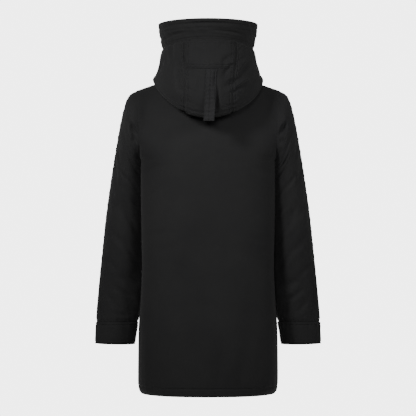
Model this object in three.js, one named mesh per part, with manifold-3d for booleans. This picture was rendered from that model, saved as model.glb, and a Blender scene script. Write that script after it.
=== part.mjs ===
// A hip-length hooded parka in the shape it has when worn, with the hood thrown back.
// Millimetres, +Z up. The back faces -Y and the wearer's right arm is at +X.
// The origin is midway between the high points of the shoulders, where the neck begins.
import * as THREE from 'three';
import { mergeVertices } from 'three/addons/utils/BufferGeometryUtils.js';
import Module from 'manifold-3d';

const wasm = await Module();
wasm.setup();
const { degToRad, radToDeg, lerp, clamp, smoothstep } = THREE.MathUtils;

// Cloth and gaps
const CLOTH_WALL = 3;
const PATCH_WALL = 1.5;
const STRAP_WALL = 2.2;
const TAPE_WALL = 1.2;
const SEAM_GAP = 0.3;

// Levels of the body, measured up from the neck
const HEM_Z = -853;
const UNDERARM_Z = -228;

// How many columns and rows each piece has
const BODY_COLUMNS = 12;
const BACK_NECK_COLUMNS = 5;
const FRONT_NECK_COLUMNS = 6;
const ARMHOLE_ROWS = 10;
const GUSSET_COLUMNS = 8;

// Half sections of the body. Its outline is a superellipse, a little boxier than an ellipse.
const BODY_ROUNDNESS = 2.35;
const BODY_SECTIONS = [
  { z: HEM_Z, halfWidth: 180.5, back: 116, front: 118 },
  { z: -845, halfWidth: 185.6, back: 119, front: 121 },
  { z: -825, halfWidth: 188.5, back: 121, front: 123 },
  { z: -750, halfWidth: 188.5, back: 119, front: 121 },
  { z: -675, halfWidth: 187, back: 115, front: 117 },
  { z: -615, halfWidth: 182.5, back: 110, front: 112 },
  { z: -523, halfWidth: 178.3, back: 106, front: 108 },
  { z: -440, halfWidth: 179.5, back: 108, front: 112 },
  { z: -340, halfWidth: 181, back: 113, front: 118 },
  { z: -275, halfWidth: 182, back: 116, front: 119 },
  { z: UNDERARM_Z, halfWidth: 184, back: 118, front: 119 },
];
const BODY_ROWS = [-853, -845, -825, -780, -720, -660, -600, -535, -470, -400, -335, -275];

// Neck seam, shoulder seam and the slope of the shoulder
const NECK = { halfWidth: 78, sideY: -8, backY: -66, frontY: 66, backZ: -14, frontZ: -76 };
const NECK_FRONT_CURVE = 1.45;
const SHOULDER_TIP = new THREE.Vector3(194, -5, -40);

// Handles of the curves that run from the underarm level up to the neck and shoulder.
// The column at across 1 is the edge of the armhole.
const BACK_YOKE = [
  { across: 0, lowX: 0, lowY: -121, lowZ: -158, highX: 0, highY: -104, highZ: -62 },
  { across: 0.42, lowX: 119, lowY: -107, lowZ: -155, highX: 87, highY: -63, highZ: -18 },
  { across: 0.75, lowX: 171, lowY: -106, lowZ: -200, highX: 151, highY: -62, highZ: -42 },
  { across: 1, lowX: 180, lowY: -100, lowZ: -232, highX: 186, highY: -88, highZ: -60 },
];
const FRONT_YOKE = [
  { across: 0, lowX: 0, lowY: 121, lowZ: -180, highX: 0, highY: 92, highZ: -115 },
  { across: 0.5, lowX: 136, lowY: 104, lowZ: -165, highX: 92, highY: 54, highZ: -26 },
  { across: 0.78, lowX: 172, lowY: 95, lowZ: -205, highX: 152, highY: 50, highZ: -42 },
  { across: 1, lowX: 181, lowY: 94, lowZ: -232, highX: 187, highY: 74, highZ: -62 },
];

// Sleeve rings from the armhole to the cuff edge. Outer and inner are the two ends of a
// ring as seen from behind, halfDepth is half its size from back to front.
const CUFF_AT = 1;
const CUFF_EDGE_AT = 1.12;
const SLEEVE_RINGS = [
  { at: 0, outerX: 194, outerZ: -40, innerX: 184.3, innerZ: -228.3, midY: -3, halfDepth: 72 },
  { at: 0.02, outerX: 207.8, outerZ: -46.5, innerX: 185, innerZ: -231, midY: -2, halfDepth: 74 },
  { at: 0.045, outerX: 218.2, outerZ: -58, innerX: 185.4, innerZ: -234, midY: 0, halfDepth: 76 },
  { at: 0.1, outerX: 228.6, outerZ: -90, innerX: 184.8, innerZ: -240, midY: 5, halfDepth: 78 },
  { at: 0.18, outerX: 239.6, outerZ: -142, innerX: 183.3, innerZ: -251, midY: 12, halfDepth: 79 },
  { at: 0.28, outerX: 250.2, outerZ: -199, innerX: 181.3, innerZ: -270, midY: 22, halfDepth: 78 },
  { at: 0.4, outerX: 263, outerZ: -276, innerX: 181.1, innerZ: -312, midY: 28, halfDepth: 74 },
  { at: 0.55, outerX: 278.9, outerZ: -385, innerX: 178.2, innerZ: -402, midY: 37, halfDepth: 67 },
  { at: 0.7, outerX: 290.6, outerZ: -494, innerX: 174, innerZ: -504, midY: 43, halfDepth: 58 },
  { at: 0.85, outerX: 299.6, outerZ: -582, innerX: 177, innerZ: -588, midY: 47, halfDepth: 48 },
  { at: CUFF_AT, outerX: 306.6, outerZ: -664, innerX: 189, innerZ: -664, midY: 49, halfDepth: 40 },
  { at: CUFF_EDGE_AT, outerX: 309.2, outerZ: -725, innerX: 199, innerZ: -727, midY: 49, halfDepth: 37 },
];
const SLEEVE_ROWS = [0, 0.02, 0.045, 0.075, 0.11, 0.15, 0.2, 0.26, 0.33, 0.4, 0.47, 0.54, 0.61, 0.68,
  0.75, 0.82, 0.88, 0.94, CUFF_AT];
const CUFF_ROWS = [CUFF_AT, 1.04, 1.08, CUFF_EDGE_AT];
const SLEEVE_COLUMNS = 10;
const ARMHOLE_FADE = 0.2;
// The outer sleeve seam starts at the shoulder and turns this far round to the back at the wrist
const SEAM_TURN = [
  { at: 0, turn: 0 },
  { at: 0.6, turn: 4 },
  { at: 0.75, turn: 22 },
  { at: 1, turn: 51 },
  { at: 1.12, turn: 53 },
];

// Hood rings from the neck seam, down to the hanging fold, and up to the standing rim
const BAND_AT = 0.74;
const HOOD_RINGS = [
  { at: 0.12, halfWidth: 112, back: 112, front: 74, midY: -10, backZ: -62, sideZ: -6, frontZ: -60 },
  { at: 0.24, halfWidth: 143, back: 157, front: 79, midY: -12, backZ: -120, sideZ: -16, frontZ: -43 },
  { at: 0.3, halfWidth: 148.6, back: 180, front: 81, midY: -14, backZ: -114, sideZ: -11, frontZ: -31 },
  { at: 0.42, halfWidth: 143.4, back: 193, front: 83, midY: -16, backZ: -64, sideZ: 1, frontZ: -13 },
  { at: 0.585, halfWidth: 133.2, back: 180, front: 86, midY: -15, backZ: 10, sideZ: 33, frontZ: 11 },
  { at: 0.66, halfWidth: 129.6, back: 164, front: 87, midY: -13.5, backZ: 49, sideZ: 51, frontZ: 21 },
  { at: BAND_AT, halfWidth: 123.9, back: 148, front: 88, midY: -12, backZ: 86, sideZ: 71, frontZ: 32 },
  { at: 0.87, halfWidth: 130.3, back: 152, front: 92, midY: -10, backZ: 112, sideZ: 104, frontZ: 52 },
  { at: 1, halfWidth: 133.8, back: 157, front: 95, midY: -9, backZ: 137, sideZ: 137, frontZ: 72 },
];
const HOOD_ROWS = [0, 0.06, 0.12, 0.18, 0.22, 0.25, 0.28, 0.31, 0.36, 0.42, 0.5, 0.573, 0.615, 0.655, 0.69,
  0.731, BAND_AT];
const BAND_ROWS = [BAND_AT, 0.8, 0.87, 0.94, 1];
// How sharply each side of the lower edge rises from the back to the shoulder. It hangs
// fuller on the right.
const HOOD_HANG = [
  { at: 0.12, left: 1.9, right: 1.9 },
  { at: 0.24, left: 1.6, right: 1.3 },
  { at: 0.42, left: 1.5, right: 1.1 },
  { at: BAND_AT, left: 1.5, right: 1.5 },
];
const FRONT_HANG = 2.2;
// Gusset seams, in degrees round the hood from its centre back
const GUSSET_SEAMS = [
  { at: 0, left: -36, right: 36 },
  { at: 0.3, left: -24.6, right: 25.5 },
  { at: BAND_AT, left: -29.6, right: 37 },
];

// Columns of the hood's sides where they leave the neck seam, from the gusset to the front
const HOOD_SIDE_TURNS = [36, 45, 54, 63, 72, 81, 90, 97.5, 105, 112.5, 120, 135, 150, 165];

// Patch and strap on the gusset
const PATCH = { inset: 0.27, low: 0.573, high: 0.731 };
const STRAP_ROWS = 14;
const STRAP_COLUMNS = 4;
const STRAP_LIES = 0.5;
const STRAP = { halfWidth: 12.8, topX: 8.5, endX: 1.6, top: 0.566, leaves: 0.42, endZ: -132, hangY: -1.5 };

// Zip: half widths across the front, and its parts in the slider's own directions
const ZIP = {
  clothEdge: 5, tapeIn: 3.5, tapeOut: 12, tapeUnder: 0.7, chainHalf: 3.2, chainThick: 3, chainUnder: 2.6,
  start: -0.995, sliderAt: 1.86, tapeEnd: 1.99,
};
const SLIDER = { halfWidth: 4.4, up: 2, down: 13, plate: 2, open: 4, webHalf: 2.4 };
const ARCH = { halfWidth: 1.3, centre: -5, halfLength: 5, leg: 1.8, reach: 2.6, bar: 1.6 };
const PULL = { halfWidth: 3.4, armIn: 2, bar: 1.5, window: 7.2, shoulder: 9, length: 30, wide: 4.4, thick: 1.5 };

// Largest folds. centre and length are in millimetres on the piece: x or distance round the
// piece, then height or distance along it. lean turns the fold, and depth is negative for a
// trough.
const BACK_FOLDS = [
  { x: 34, y: -775, length: 120, width: 17, lean: 84, depth: -4 },
  { x: -2, y: -800, length: 90, width: 20, lean: 92, depth: 2.5 },
  { x: -138, y: -200, length: 70, width: 22, lean: 100, depth: 3 },
  { x: 140, y: -200, length: 70, width: 22, lean: 80, depth: 3 },
  { x: -120, y: -690, length: 150, width: 26, lean: 94, depth: -2.5 },
  { x: 118, y: -640, length: 150, width: 26, lean: 87, depth: -2.5 },
  { x: -60, y: -520, length: 110, width: 24, lean: 68, depth: -2 },
  { x: 66, y: -505, length: 110, width: 24, lean: 108, depth: -2 },
];
const FRONT_FOLDS = [
  { x: -128, y: -215, length: 80, width: 22, lean: 62, depth: -3 },
  { x: 128, y: -220, length: 80, width: 22, lean: 118, depth: -3 },
  { x: -86, y: -700, length: 140, width: 26, lean: 92, depth: -2.5 },
  { x: 92, y: -720, length: 140, width: 26, lean: 88, depth: -2.5 },
  { x: 70, y: -500, length: 90, width: 24, lean: 60, depth: -2 },
  { x: -74, y: -512, length: 90, width: 24, lean: 122, depth: -2 },
];
// On the sleeves x is round from the outer edge, 90 at the back, y is down from the armhole
const SLEEVE_FOLDS = {
  left: [
    { x: 98, y: 30, length: 46, width: 11, lean: 130, depth: -12 },
    { x: 148, y: 52, length: 50, width: 14, lean: 100, depth: -7 },
    { x: 84, y: 118, length: 62, width: 13, lean: 28, depth: -4 },
    { x: 150, y: 205, length: 48, width: 11, lean: 38, depth: -6 },
    { x: 48, y: 246, length: 50, width: 11, lean: 58, depth: -4 },
    { x: 104, y: 322, length: 58, width: 14, lean: 44, depth: -5 },
    { x: 150, y: 452, length: 95, width: 20, lean: 94, depth: -9 },
    { x: 118, y: 505, length: 58, width: 13, lean: 30, depth: -5 },
    { x: 130, y: 566, length: 50, width: 13, lean: 40, depth: -5 },
    { x: 272, y: 150, length: 62, width: 14, lean: 150, depth: -4 },
    { x: 268, y: 262, length: 62, width: 15, lean: 154, depth: -4 },
    { x: 262, y: 398, length: 60, width: 16, lean: 146, depth: -5 },
  ],
  right: [
    { x: 96, y: 32, length: 44, width: 11, lean: 128, depth: -12 },
    { x: 150, y: 56, length: 48, width: 14, lean: 98, depth: -7 },
    { x: 88, y: 106, length: 58, width: 13, lean: 32, depth: -4 },
    { x: 148, y: 214, length: 50, width: 11, lean: 34, depth: -6 },
    { x: 50, y: 232, length: 48, width: 11, lean: 60, depth: -4 },
    { x: 98, y: 334, length: 62, width: 15, lean: 40, depth: -5 },
    { x: 148, y: 462, length: 98, width: 20, lean: 92, depth: -9 },
    { x: 112, y: 516, length: 60, width: 13, lean: 28, depth: -5 },
    { x: 132, y: 580, length: 46, width: 13, lean: 42, depth: -5 },
    { x: 274, y: 138, length: 60, width: 14, lean: 152, depth: -4 },
    { x: 264, y: 280, length: 64, width: 15, lean: 150, depth: -4 },
    { x: 270, y: 412, length: 58, width: 16, lean: 144, depth: -5 },
  ],
};
// On the hood x is round from the centre back and y is up from the neck seam
const HOOD_FOLDS = [
  { x: 66, y: 232, length: 46, width: 10, lean: 24, depth: -5 },
  { x: 40, y: 268, length: 44, width: 9, lean: 70, depth: -4 },
  { x: -46, y: 262, length: 44, width: 10, lean: 116, depth: -3 },
  { x: 196, y: 262, length: 84, width: 16, lean: 96, depth: -9 },
  { x: -196, y: 262, length: 84, width: 16, lean: 84, depth: -9 },
  { x: 132, y: 218, length: 52, width: 14, lean: 30, depth: -4 },
  { x: -128, y: 300, length: 60, width: 14, lean: 84, depth: -3 },
];

// Millimetres for each degree or unit that the sleeves and the hood are measured in
const SLEEVE_ROUND = 1.05;
const SLEEVE_LENGTH = 640;
const HOOD_ROUND = 2.3;
const HOOD_LENGTH = 480;

// Steps used to find which way a surface faces
const STEP_ROUND = 0.4;
const STEP_ALONG = 0.002;

// Materials
const clothMaterial = () => new THREE.MeshStandardMaterial({ color: 0x212122, roughness: 0.86, metalness: 0 });
const webbingMaterial = () => new THREE.MeshStandardMaterial({ color: 0x2a2a2b, roughness: 0.9, metalness: 0 });
const metalMaterial = () => new THREE.MeshStandardMaterial({ color: 0x2b2b2d, roughness: 0.35, metalness: 1 });

// Smooth value of one named column of a table, whose rows are sorted by their key
function column(rows, key, at, name) {
  let i = 0;
  while (i < rows.length - 2 && at > rows[i + 1][key]) i += 1;
  const slope = (k) => {
    const before = rows[Math.max(k - 1, 0)];
    const after = rows[Math.min(k + 1, rows.length - 1)];
    return (after[name] - before[name]) / (after[key] - before[key]);
  };
  const span = rows[i + 1][key] - rows[i][key];
  const t = clamp((at - rows[i][key]) / span, 0, 1);
  const t2 = t * t;
  const t3 = t2 * t;
  return rows[i][name] * (2 * t3 - 3 * t2 + 1) + rows[i + 1][name] * (3 * t2 - 2 * t3)
    + slope(i) * span * (t3 - 2 * t2 + t) + slope(i + 1) * span * (t3 - t2);
}

// Sine and cosine of a turn on a superellipse, both kept signed
function roundedTurn(turn, roundness) {
  const power = 2 / roundness;
  const across = Math.sin(degToRad(turn));
  const deep = Math.cos(degToRad(turn));
  return {
    across: Math.sign(across) * Math.abs(across) ** power,
    deep: Math.sign(deep) * Math.abs(deep) ** power,
  };
}

// How far a table of folds moves the cloth out or in at one place
function foldPush(folds, x, y) {
  let push = 0;
  for (const fold of folds) {
    const lean = degToRad(fold.lean);
    const dx = x - fold.x;
    const dy = y - fold.y;
    const along = (dx * Math.cos(lean) + dy * Math.sin(lean)) / fold.length;
    const beside = (dy * Math.cos(lean) - dx * Math.sin(lean)) / fold.width;
    if (Math.abs(along) < 1) push += fold.depth * (1 - along * along) ** 2 * Math.exp(-beside * beside);
  }
  return push;
}

// Point of a Bezier curve with two handles
function bezier(from, low, high, to, t) {
  const s = 1 - t;
  return new THREE.Vector3()
    .addScaledVector(from, s * s * s)
    .addScaledVector(low, 3 * s * s * t)
    .addScaledVector(high, 3 * s * t * t)
    .addScaledVector(to, t * t * t);
}

// Neck seam: turn 0 is the centre back, 90 the shoulder seam and 180 the centre front
function neckCurve(turn) {
  const deep = Math.cos(degToRad(turn));
  const reach = deep > 0 ? NECK.backY - NECK.sideY : NECK.sideY - NECK.frontY;
  const drop = deep > 0 ? NECK.backZ * deep ** 2 : NECK.frontZ * (-deep) ** NECK_FRONT_CURVE;
  return new THREE.Vector3(NECK.halfWidth * Math.sin(degToRad(turn)), NECK.sideY + reach * deep, drop);
}

// The neck seam as the body's own columns cut it, so the hood meets it edge to edge
function neckEdge(turn) {
  const size = Math.abs(turn);
  const step = size < 90 ? 90 / BACK_NECK_COLUMNS : 90 / FRONT_NECK_COLUMNS;
  const low = Math.floor(size / step) * step;
  const point = neckCurve(low).lerp(neckCurve(Math.min(low + step, 180)), (size - low) / step);
  point.x *= Math.sign(turn) || 1;
  return point;
}

// Half of a body section, from the centre (0) to the side seam (1)
function sectionPoint(face, across, z) {
  const turn = roundedTurn(90 * across, BODY_ROUNDNESS);
  const depth = column(BODY_SECTIONS, 'z', z, face) * (face === 'back' ? -1 : 1);
  return new THREE.Vector3(column(BODY_SECTIONS, 'z', z, 'halfWidth') * turn.across, depth * turn.deep, z);
}

// Top end of a yoke column, on the neck seam or the shoulder seam
function yokeTop(face, across) {
  const neckShare = (face === 'back' ? BACK_NECK_COLUMNS : FRONT_NECK_COLUMNS) / BODY_COLUMNS;
  if (across <= neckShare) {
    const turn = 90 * across / neckShare;
    return neckCurve(face === 'back' ? turn : 180 - turn);
  }
  return neckCurve(90).lerp(SHOULDER_TIP, (across - neckShare) / (1 - neckShare));
}

function yokePoint(face, across, up) {
  const rows = face === 'back' ? BACK_YOKE : FRONT_YOKE;
  const handle = (end) => new THREE.Vector3(
    column(rows, 'across', across, `${end}X`),
    column(rows, 'across', across, `${end}Y`),
    column(rows, 'across', across, `${end}Z`),
  );
  const from = sectionPoint(face, across, UNDERARM_Z);
  return bezier(from, handle('low'), handle('high'), yokeTop(face, across), up);
}

// Body surface. turn runs from -90 to 90 over a face, up from -1 at the hem, through 0 at
// the underarm, to 1 at the neck and shoulders.
function bodySurface(face) {
  const folds = face === 'back' ? BACK_FOLDS : FRONT_FOLDS;
  const facing = face === 'back' ? -1 : 1;
  return (turn, up) => {
    const across = Math.abs(turn) / 90;
    const point = up <= 0
      ? sectionPoint(face, across, UNDERARM_Z + Math.max(up, -1) * (UNDERARM_Z - HEM_Z))
      : yokePoint(face, Math.min(across, 1), Math.min(up, 1));
    point.x *= Math.sign(turn) || 1;
    const fade = clamp((1 - up) / 0.2, 0, 1) * clamp((1 - across) / 0.15, 0, 1);
    point.y += facing * fade * foldPush(folds, point.x, point.z);
    return point;
  };
}

const backSurface = bodySurface('back');
const frontSurface = bodySurface('front');

// Edge of the right armhole: 0 at the shoulder tip, 90 at the back, 180 at the underarm
function armholePoint(turn) {
  const round = ((turn % 360) + 360) % 360;
  return round <= 180 ? yokePoint('back', 1, 1 - round / 180) : yokePoint('front', 1, round / 180 - 1);
}

// The armhole as the body's own rows cut it
function armholeEdge(turn) {
  const step = 180 / ARMHOLE_ROWS;
  const low = Math.floor(turn / step) * step;
  return armholePoint(low).lerp(armholePoint(low + step), (turn - low) / step);
}

// Sleeve surface. turn is as on the armhole, along runs from the armhole to the cuff edge.
function sleeveSurface(side) {
  const sign = side === 'left' ? -1 : 1;
  const ring = (turn, along) => {
    const value = (name) => column(SLEEVE_RINGS, 'at', along, name);
    const outer = new THREE.Vector3(value('outerX'), value('midY'), value('outerZ'));
    const inner = new THREE.Vector3(value('innerX'), value('midY'), value('innerZ'));
    const point = outer.clone().lerp(inner, 0.5 - 0.5 * Math.cos(degToRad(turn)));
    point.y -= value('halfDepth') * Math.sin(degToRad(turn));
    return point;
  };
  return (turn, along) => {
    const at = clamp(along, 0, CUFF_EDGE_AT);
    const point = ring(turn, at);
    const fade = clamp(1 - at / ARMHOLE_FADE, 0, 1) ** 2;
    point.addScaledVector(armholeEdge(turn).sub(ring(turn, 0)), fade);
    point.x += SEAM_GAP * fade;
    const round = ((turn % 360) + 360) % 360;
    const push = foldPush(SLEEVE_FOLDS[side], round * SLEEVE_ROUND, at * SLEEVE_LENGTH);
    const held = clamp(at / 0.08, 0, 1);
    point.y -= Math.sin(degToRad(turn)) * push * held;
    point.x += 0.5 * Math.max(Math.cos(degToRad(turn)), 0) * push * held;
    point.x *= sign;
    return point;
  };
}

// Turn of the outer sleeve seam, and the turns of the columns of each sleeve half
const seamTurn = (along) => column(SEAM_TURN, 'at', clamp(along, 0, CUFF_EDGE_AT), 'turn');
const backHalf = (along, share) => lerp(seamTurn(along), 180, share);
const frontHalf = (along, share) => lerp(180, 360 + seamTurn(along), share);

// Hood surface. turn is 0 at the centre back and 180 at the zip, along runs from the neck
// seam to the rim.
const NECK_BLEND_AT = HOOD_RINGS[0].at;
const NECK_RISE = 3;
function hoodRing(turn, along) {
  const value = (name) => column(HOOD_RINGS, 'at', along, name);
  const deep = Math.cos(degToRad(turn));
  const hang = column(HOOD_HANG, 'at', along, turn < 0 ? 'left' : 'right');
  const reach = deep > 0 ? -value('back') - value('midY') : value('midY') - value('front');
  const drop = deep > 0
    ? (value('backZ') - value('sideZ')) * deep ** hang
    : (value('frontZ') - value('sideZ')) * (-deep) ** FRONT_HANG;
  return new THREE.Vector3(
    value('halfWidth') * Math.sin(degToRad(turn)),
    value('midY') + reach * deep,
    value('sideZ') + drop,
  );
}

function hoodSurface(turn, along) {
  const at = clamp(along, 0, 1);
  const start = neckEdge(turn).add(new THREE.Vector3(0, 0, SEAM_GAP));
  const point = at < NECK_BLEND_AT
    ? start.lerp(hoodRing(turn, NECK_BLEND_AT), at / NECK_BLEND_AT)
    : hoodRing(turn, at);
  point.z += NECK_RISE * Math.sin(Math.PI * clamp(at / NECK_BLEND_AT, 0, 1));
  const push = foldPush(HOOD_FOLDS, turn * HOOD_ROUND, at * HOOD_LENGTH);
  const held = clamp(at / 0.3, 0, 1);
  point.x += Math.sin(degToRad(turn)) * push * held;
  point.y -= Math.cos(degToRad(turn)) * push * held;
  return point;
}

// Direction in which a surface faces
function outward(surface, facing, turn, along) {
  const round = surface(turn + STEP_ROUND, along).sub(surface(turn - STEP_ROUND, along));
  const up = surface(turn, along + STEP_ALONG).sub(surface(turn, along - STEP_ALONG));
  return round.cross(up).normalize().multiplyScalar(facing);
}

// A surface moved out by a distance, for what lies on it or under it
function movedOut(surface, facing, distance) {
  return (turn, along) => surface(turn, along)
    .addScaledVector(outward(surface, facing, turn, along), distance);
}

// Turns a list of points and faces into a named mesh
function namedMesh(name, points, faces, material) {
  const geometry = new THREE.BufferGeometry();
  geometry.setAttribute('position', new THREE.Float32BufferAttribute(points.flatMap((p) => [p.x, p.y, p.z]), 3));
  geometry.setIndex(faces);
  geometry.computeVertexNormals();
  const mesh = new THREE.Mesh(geometry, material);
  mesh.name = name;
  return mesh;
}

// A wall of cloth over a patch of a surface: outer points, inner points one wall behind
// them, and strips round the edges. seams names the edges that stop half a gap short.
function clothPiece(name, surface, shape) {
  const { rows, turns, facing, closed = false, mirrored = false } = shape;
  const { seams = [], wall = CLOTH_WALL, lean = null } = shape;
  const columns = turns(rows[0]).length;
  const outer = rows.map((along) => turns(along).map((turn) => surface(turn, along)));
  const facings = rows.map((along) => turns(along).map((turn) => {
    const own = outward(surface, facing, turn, along);
    return lean ? lean(own, turn, along) : own;
  }));
  const pull = (point, towards) => point.addScaledVector(towards.clone().sub(point).normalize(), SEAM_GAP / 2);
  const last = rows.length - 1;
  for (let i = 0; i <= last; i += 1) {
    if (seams.includes('first')) pull(outer[i][0], outer[i][1]);
    if (seams.includes('last')) pull(outer[i][columns - 1], outer[i][columns - 2]);
  }
  for (let j = 0; j < columns; j += 1) {
    if (seams.includes('start')) pull(outer[0][j], outer[1][j]);
    if (seams.includes('end')) pull(outer[last][j], outer[last - 1][j]);
  }
  const inner = outer.map((line, i) => line.map((p, j) => p.clone().addScaledVector(facings[i][j], -wall)));
  const points = [...outer.flat(), ...inner.flat()];
  const count = rows.length * columns;
  const faces = [];
  const quad = (a, b, c, d) => {
    const halves = mirrored ? [a, b, d, b, c, d] : [a, b, c, a, c, d];
    faces.push(...(facing > 0 ? halves : halves.reverse()));
  };
  const spans = closed ? columns : columns - 1;
  const at = (i, j) => i * columns + (j % columns);
  for (let i = 0; i < last; i += 1) {
    for (let j = 0; j < spans; j += 1) {
      quad(at(i, j), at(i, j + 1), at(i + 1, j + 1), at(i + 1, j));
      quad(count + at(i, j), count + at(i + 1, j), count + at(i + 1, j + 1), count + at(i, j + 1));
    }
    if (!closed) {
      quad(at(i, 0), at(i + 1, 0), count + at(i + 1, 0), count + at(i, 0));
      quad(at(i, spans), count + at(i, spans), count + at(i + 1, spans), at(i + 1, spans));
    }
  }
  for (let j = 0; j < spans; j += 1) {
    quad(at(0, j), count + at(0, j), count + at(0, j + 1), at(0, j + 1));
    quad(at(last, j), at(last, j + 1), count + at(last, j + 1), count + at(last, j));
  }
  return namedMesh(name, points, faces, shape.material ?? clothMaterial());
}

// Evenly spaced numbers from one end to the other
const spread = (from, to, steps) => Array.from({ length: steps + 1 }, (_, i) => lerp(from, to, i / steps));

// Turn at which a surface reaches a given distance from the centre line
function turnAt(surface, x, along, from, to) {
  let low = from;
  let high = to;
  for (let i = 0; i < 30; i += 1) {
    const middle = (low + high) / 2;
    if (Math.abs(surface(middle, along).x) < x) low = middle;
    else high = middle;
  }
  return low;
}

const bodyRows = [
  ...BODY_ROWS.map((z) => (z - UNDERARM_Z) / (UNDERARM_Z - HEM_Z)),
  ...spread(0, 1, ARMHOLE_ROWS),
];

// At the shoulder seam both walls are cut square to the seam, so they never cross under it
function shoulderFacing(side) {
  const sign = side === 'left' ? -1 : 1;
  return new THREE.Vector3(-SHOULDER_TIP.z * sign, 0, SHOULDER_TIP.x - NECK.halfWidth).normalize();
}

// Where the armhole seam is a ridge, both walls are cut on the line between them
function armholeFacing(own, side, turn) {
  const round = ((turn % 360) + 360) % 360;
  const sign = side === 'left' ? -1 : 1;
  const sleeve = outward(sleeveSurface(side), sign, turn, 0);
  let body = shoulderFacing(side);
  if (round > 0 && round <= 180) body = outward(backSurface, 1, sign * 90, 1 - round / 180);
  if (round > 180) body = outward(frontSurface, -1, sign * 90, round / 180 - 1);
  const share = smoothstep(body.dot(sleeve), 0.2, 0.6);
  return own.clone().lerp(body.add(sleeve).normalize(), share).normalize();
}

function bodyLean(face) {
  const neckShare = (face === 'back' ? BACK_NECK_COLUMNS : FRONT_NECK_COLUMNS) / BODY_COLUMNS;
  return (own, turn, up) => {
    const side = turn < 0 ? 'left' : 'right';
    const across = Math.abs(turn) / 90;
    if (across > 0.999 && up > 0) return armholeFacing(own, side, face === 'back' ? 180 * (1 - up) : 180 * (1 + up));
    return up < 1 || across < neckShare - 0.001 ? own : shoulderFacing(side);
  };
}

function makeBack() {
  const turns = () => spread(-90, 90, 2 * BODY_COLUMNS);
  return clothPiece('back', backSurface, {
    rows: bodyRows, turns, facing: 1, seams: ['first', 'last', 'end'], lean: bodyLean('back'),
  });
}

function makeFront(side) {
  const sign = side === 'left' ? -1 : 1;
  const turns = (up) => {
    const edge = turnAt(frontSurface, ZIP.clothEdge, up, 0, 45);
    const line = spread(0, 90, BODY_COLUMNS).map((turn) => sign * Math.max(turn, edge));
    return side === 'left' ? line.reverse() : line;
  };
  return clothPiece(`front_${side}`, frontSurface, {
    rows: bodyRows, turns, facing: -1, seams: [side === 'left' ? 'first' : 'last', 'end'],
    lean: bodyLean('front'), mirrored: side === 'left',
  });
}

const sleeveLean = (side) => (own, turn, along) => (along > 0 ? own : armholeFacing(own, side, turn));

function makeSleeve(side) {
  const surface = sleeveSurface(side);
  const facing = side === 'left' ? -1 : 1;
  const half = (name, turnOf) => clothPiece(`${name}_${side}`, surface, {
    rows: SLEEVE_ROWS,
    turns: (along) => spread(0, 1, SLEEVE_COLUMNS).map((share) => turnOf(along, share)),
    facing, seams: ['first', 'last', 'end'], lean: sleeveLean(side),
  });
  const round = (along) => [
    ...spread(0, 1, SLEEVE_COLUMNS).slice(0, -1).map((share) => backHalf(along, share)),
    ...spread(0, 1, SLEEVE_COLUMNS).slice(0, -1).map((share) => frontHalf(along, share)),
  ];
  const cuff = clothPiece(`cuff_${side}`, surface, {
    rows: CUFF_ROWS, turns: round, facing, closed: true, seams: ['start'],
  });
  return [half('sleeve_back', backHalf), half('sleeve_front', frontHalf), cuff];
}

// Turn at which the hood's front edge stops beside the zip
function hoodFrontTurn(along, sign) {
  const fromFront = (turn) => hoodSurface(sign * (180 - turn), along);
  return sign * (180 - turnAt(fromFront, ZIP.clothEdge, along, 0, 45));
}

function makeHood() {
  const seam = (along, side) => column(GUSSET_SEAMS, 'at', clamp(along, 0, BAND_AT), side);
  const first = HOOD_SIDE_TURNS[0];
  const reach = hoodFrontTurn(0, 1) - first;
  const shares = [...HOOD_SIDE_TURNS.map((turn) => (turn - first) / reach), 1];
  const rightLine = (along) => shares.map((share) => lerp(seam(along, 'right'), hoodFrontTurn(along, 1), share));
  const leftLine = (along) => shares
    .map((share) => lerp(seam(along, 'left'), hoodFrontTurn(along, -1), share)).reverse();
  const centre = clothPiece('hood_centre', hoodSurface, {
    rows: HOOD_ROWS,
    turns: (along) => spread(seam(along, 'left'), seam(along, 'right'), GUSSET_COLUMNS),
    facing: 1, seams: ['first', 'last', 'end'],
  });
  const right = clothPiece('hood_right', hoodSurface, {
    rows: HOOD_ROWS,
    turns: rightLine,
    facing: 1, seams: ['first', 'end'],
  });
  const left = clothPiece('hood_left', hoodSurface, {
    rows: HOOD_ROWS,
    turns: leftLine, mirrored: true,
    facing: 1, seams: ['last', 'end'],
  });
  // The band repeats the columns of the three pieces under it
  const band = clothPiece('hood_band', hoodSurface, {
    rows: BAND_ROWS,
    turns: (along) => [
      ...leftLine(along).slice(0, -1),
      ...spread(seam(along, 'left'), seam(along, 'right'), GUSSET_COLUMNS).slice(0, -1),
      ...rightLine(along),
    ],
    facing: 1, seams: ['start'],
  });
  // The patch lies on the gusset's own columns, and its sides stop a little inside the seams
  const lying = movedOut(hoodSurface, 1, SEAM_GAP + PATCH_WALL);
  const patchSurface = (column, along) => {
    const line = spread(seam(along, 'left'), seam(along, 'right'), GUSSET_COLUMNS);
    const before = clamp(Math.floor(column), 0, GUSSET_COLUMNS - 1);
    return lying(line[before], along).lerp(lying(line[before + 1], along), column - before);
  };
  const patch = clothPiece('hood_patch', patchSurface, {
    rows: HOOD_ROWS.filter((along) => along >= PATCH.low && along <= PATCH.high),
    turns: () => [
      PATCH.inset,
      ...spread(1, GUSSET_COLUMNS - 1, GUSSET_COLUMNS - 2),
      GUSSET_COLUMNS - PATCH.inset,
    ],
    facing: 1, wall: PATCH_WALL,
  });
  return [centre, right, left, band, patch];
}

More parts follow.
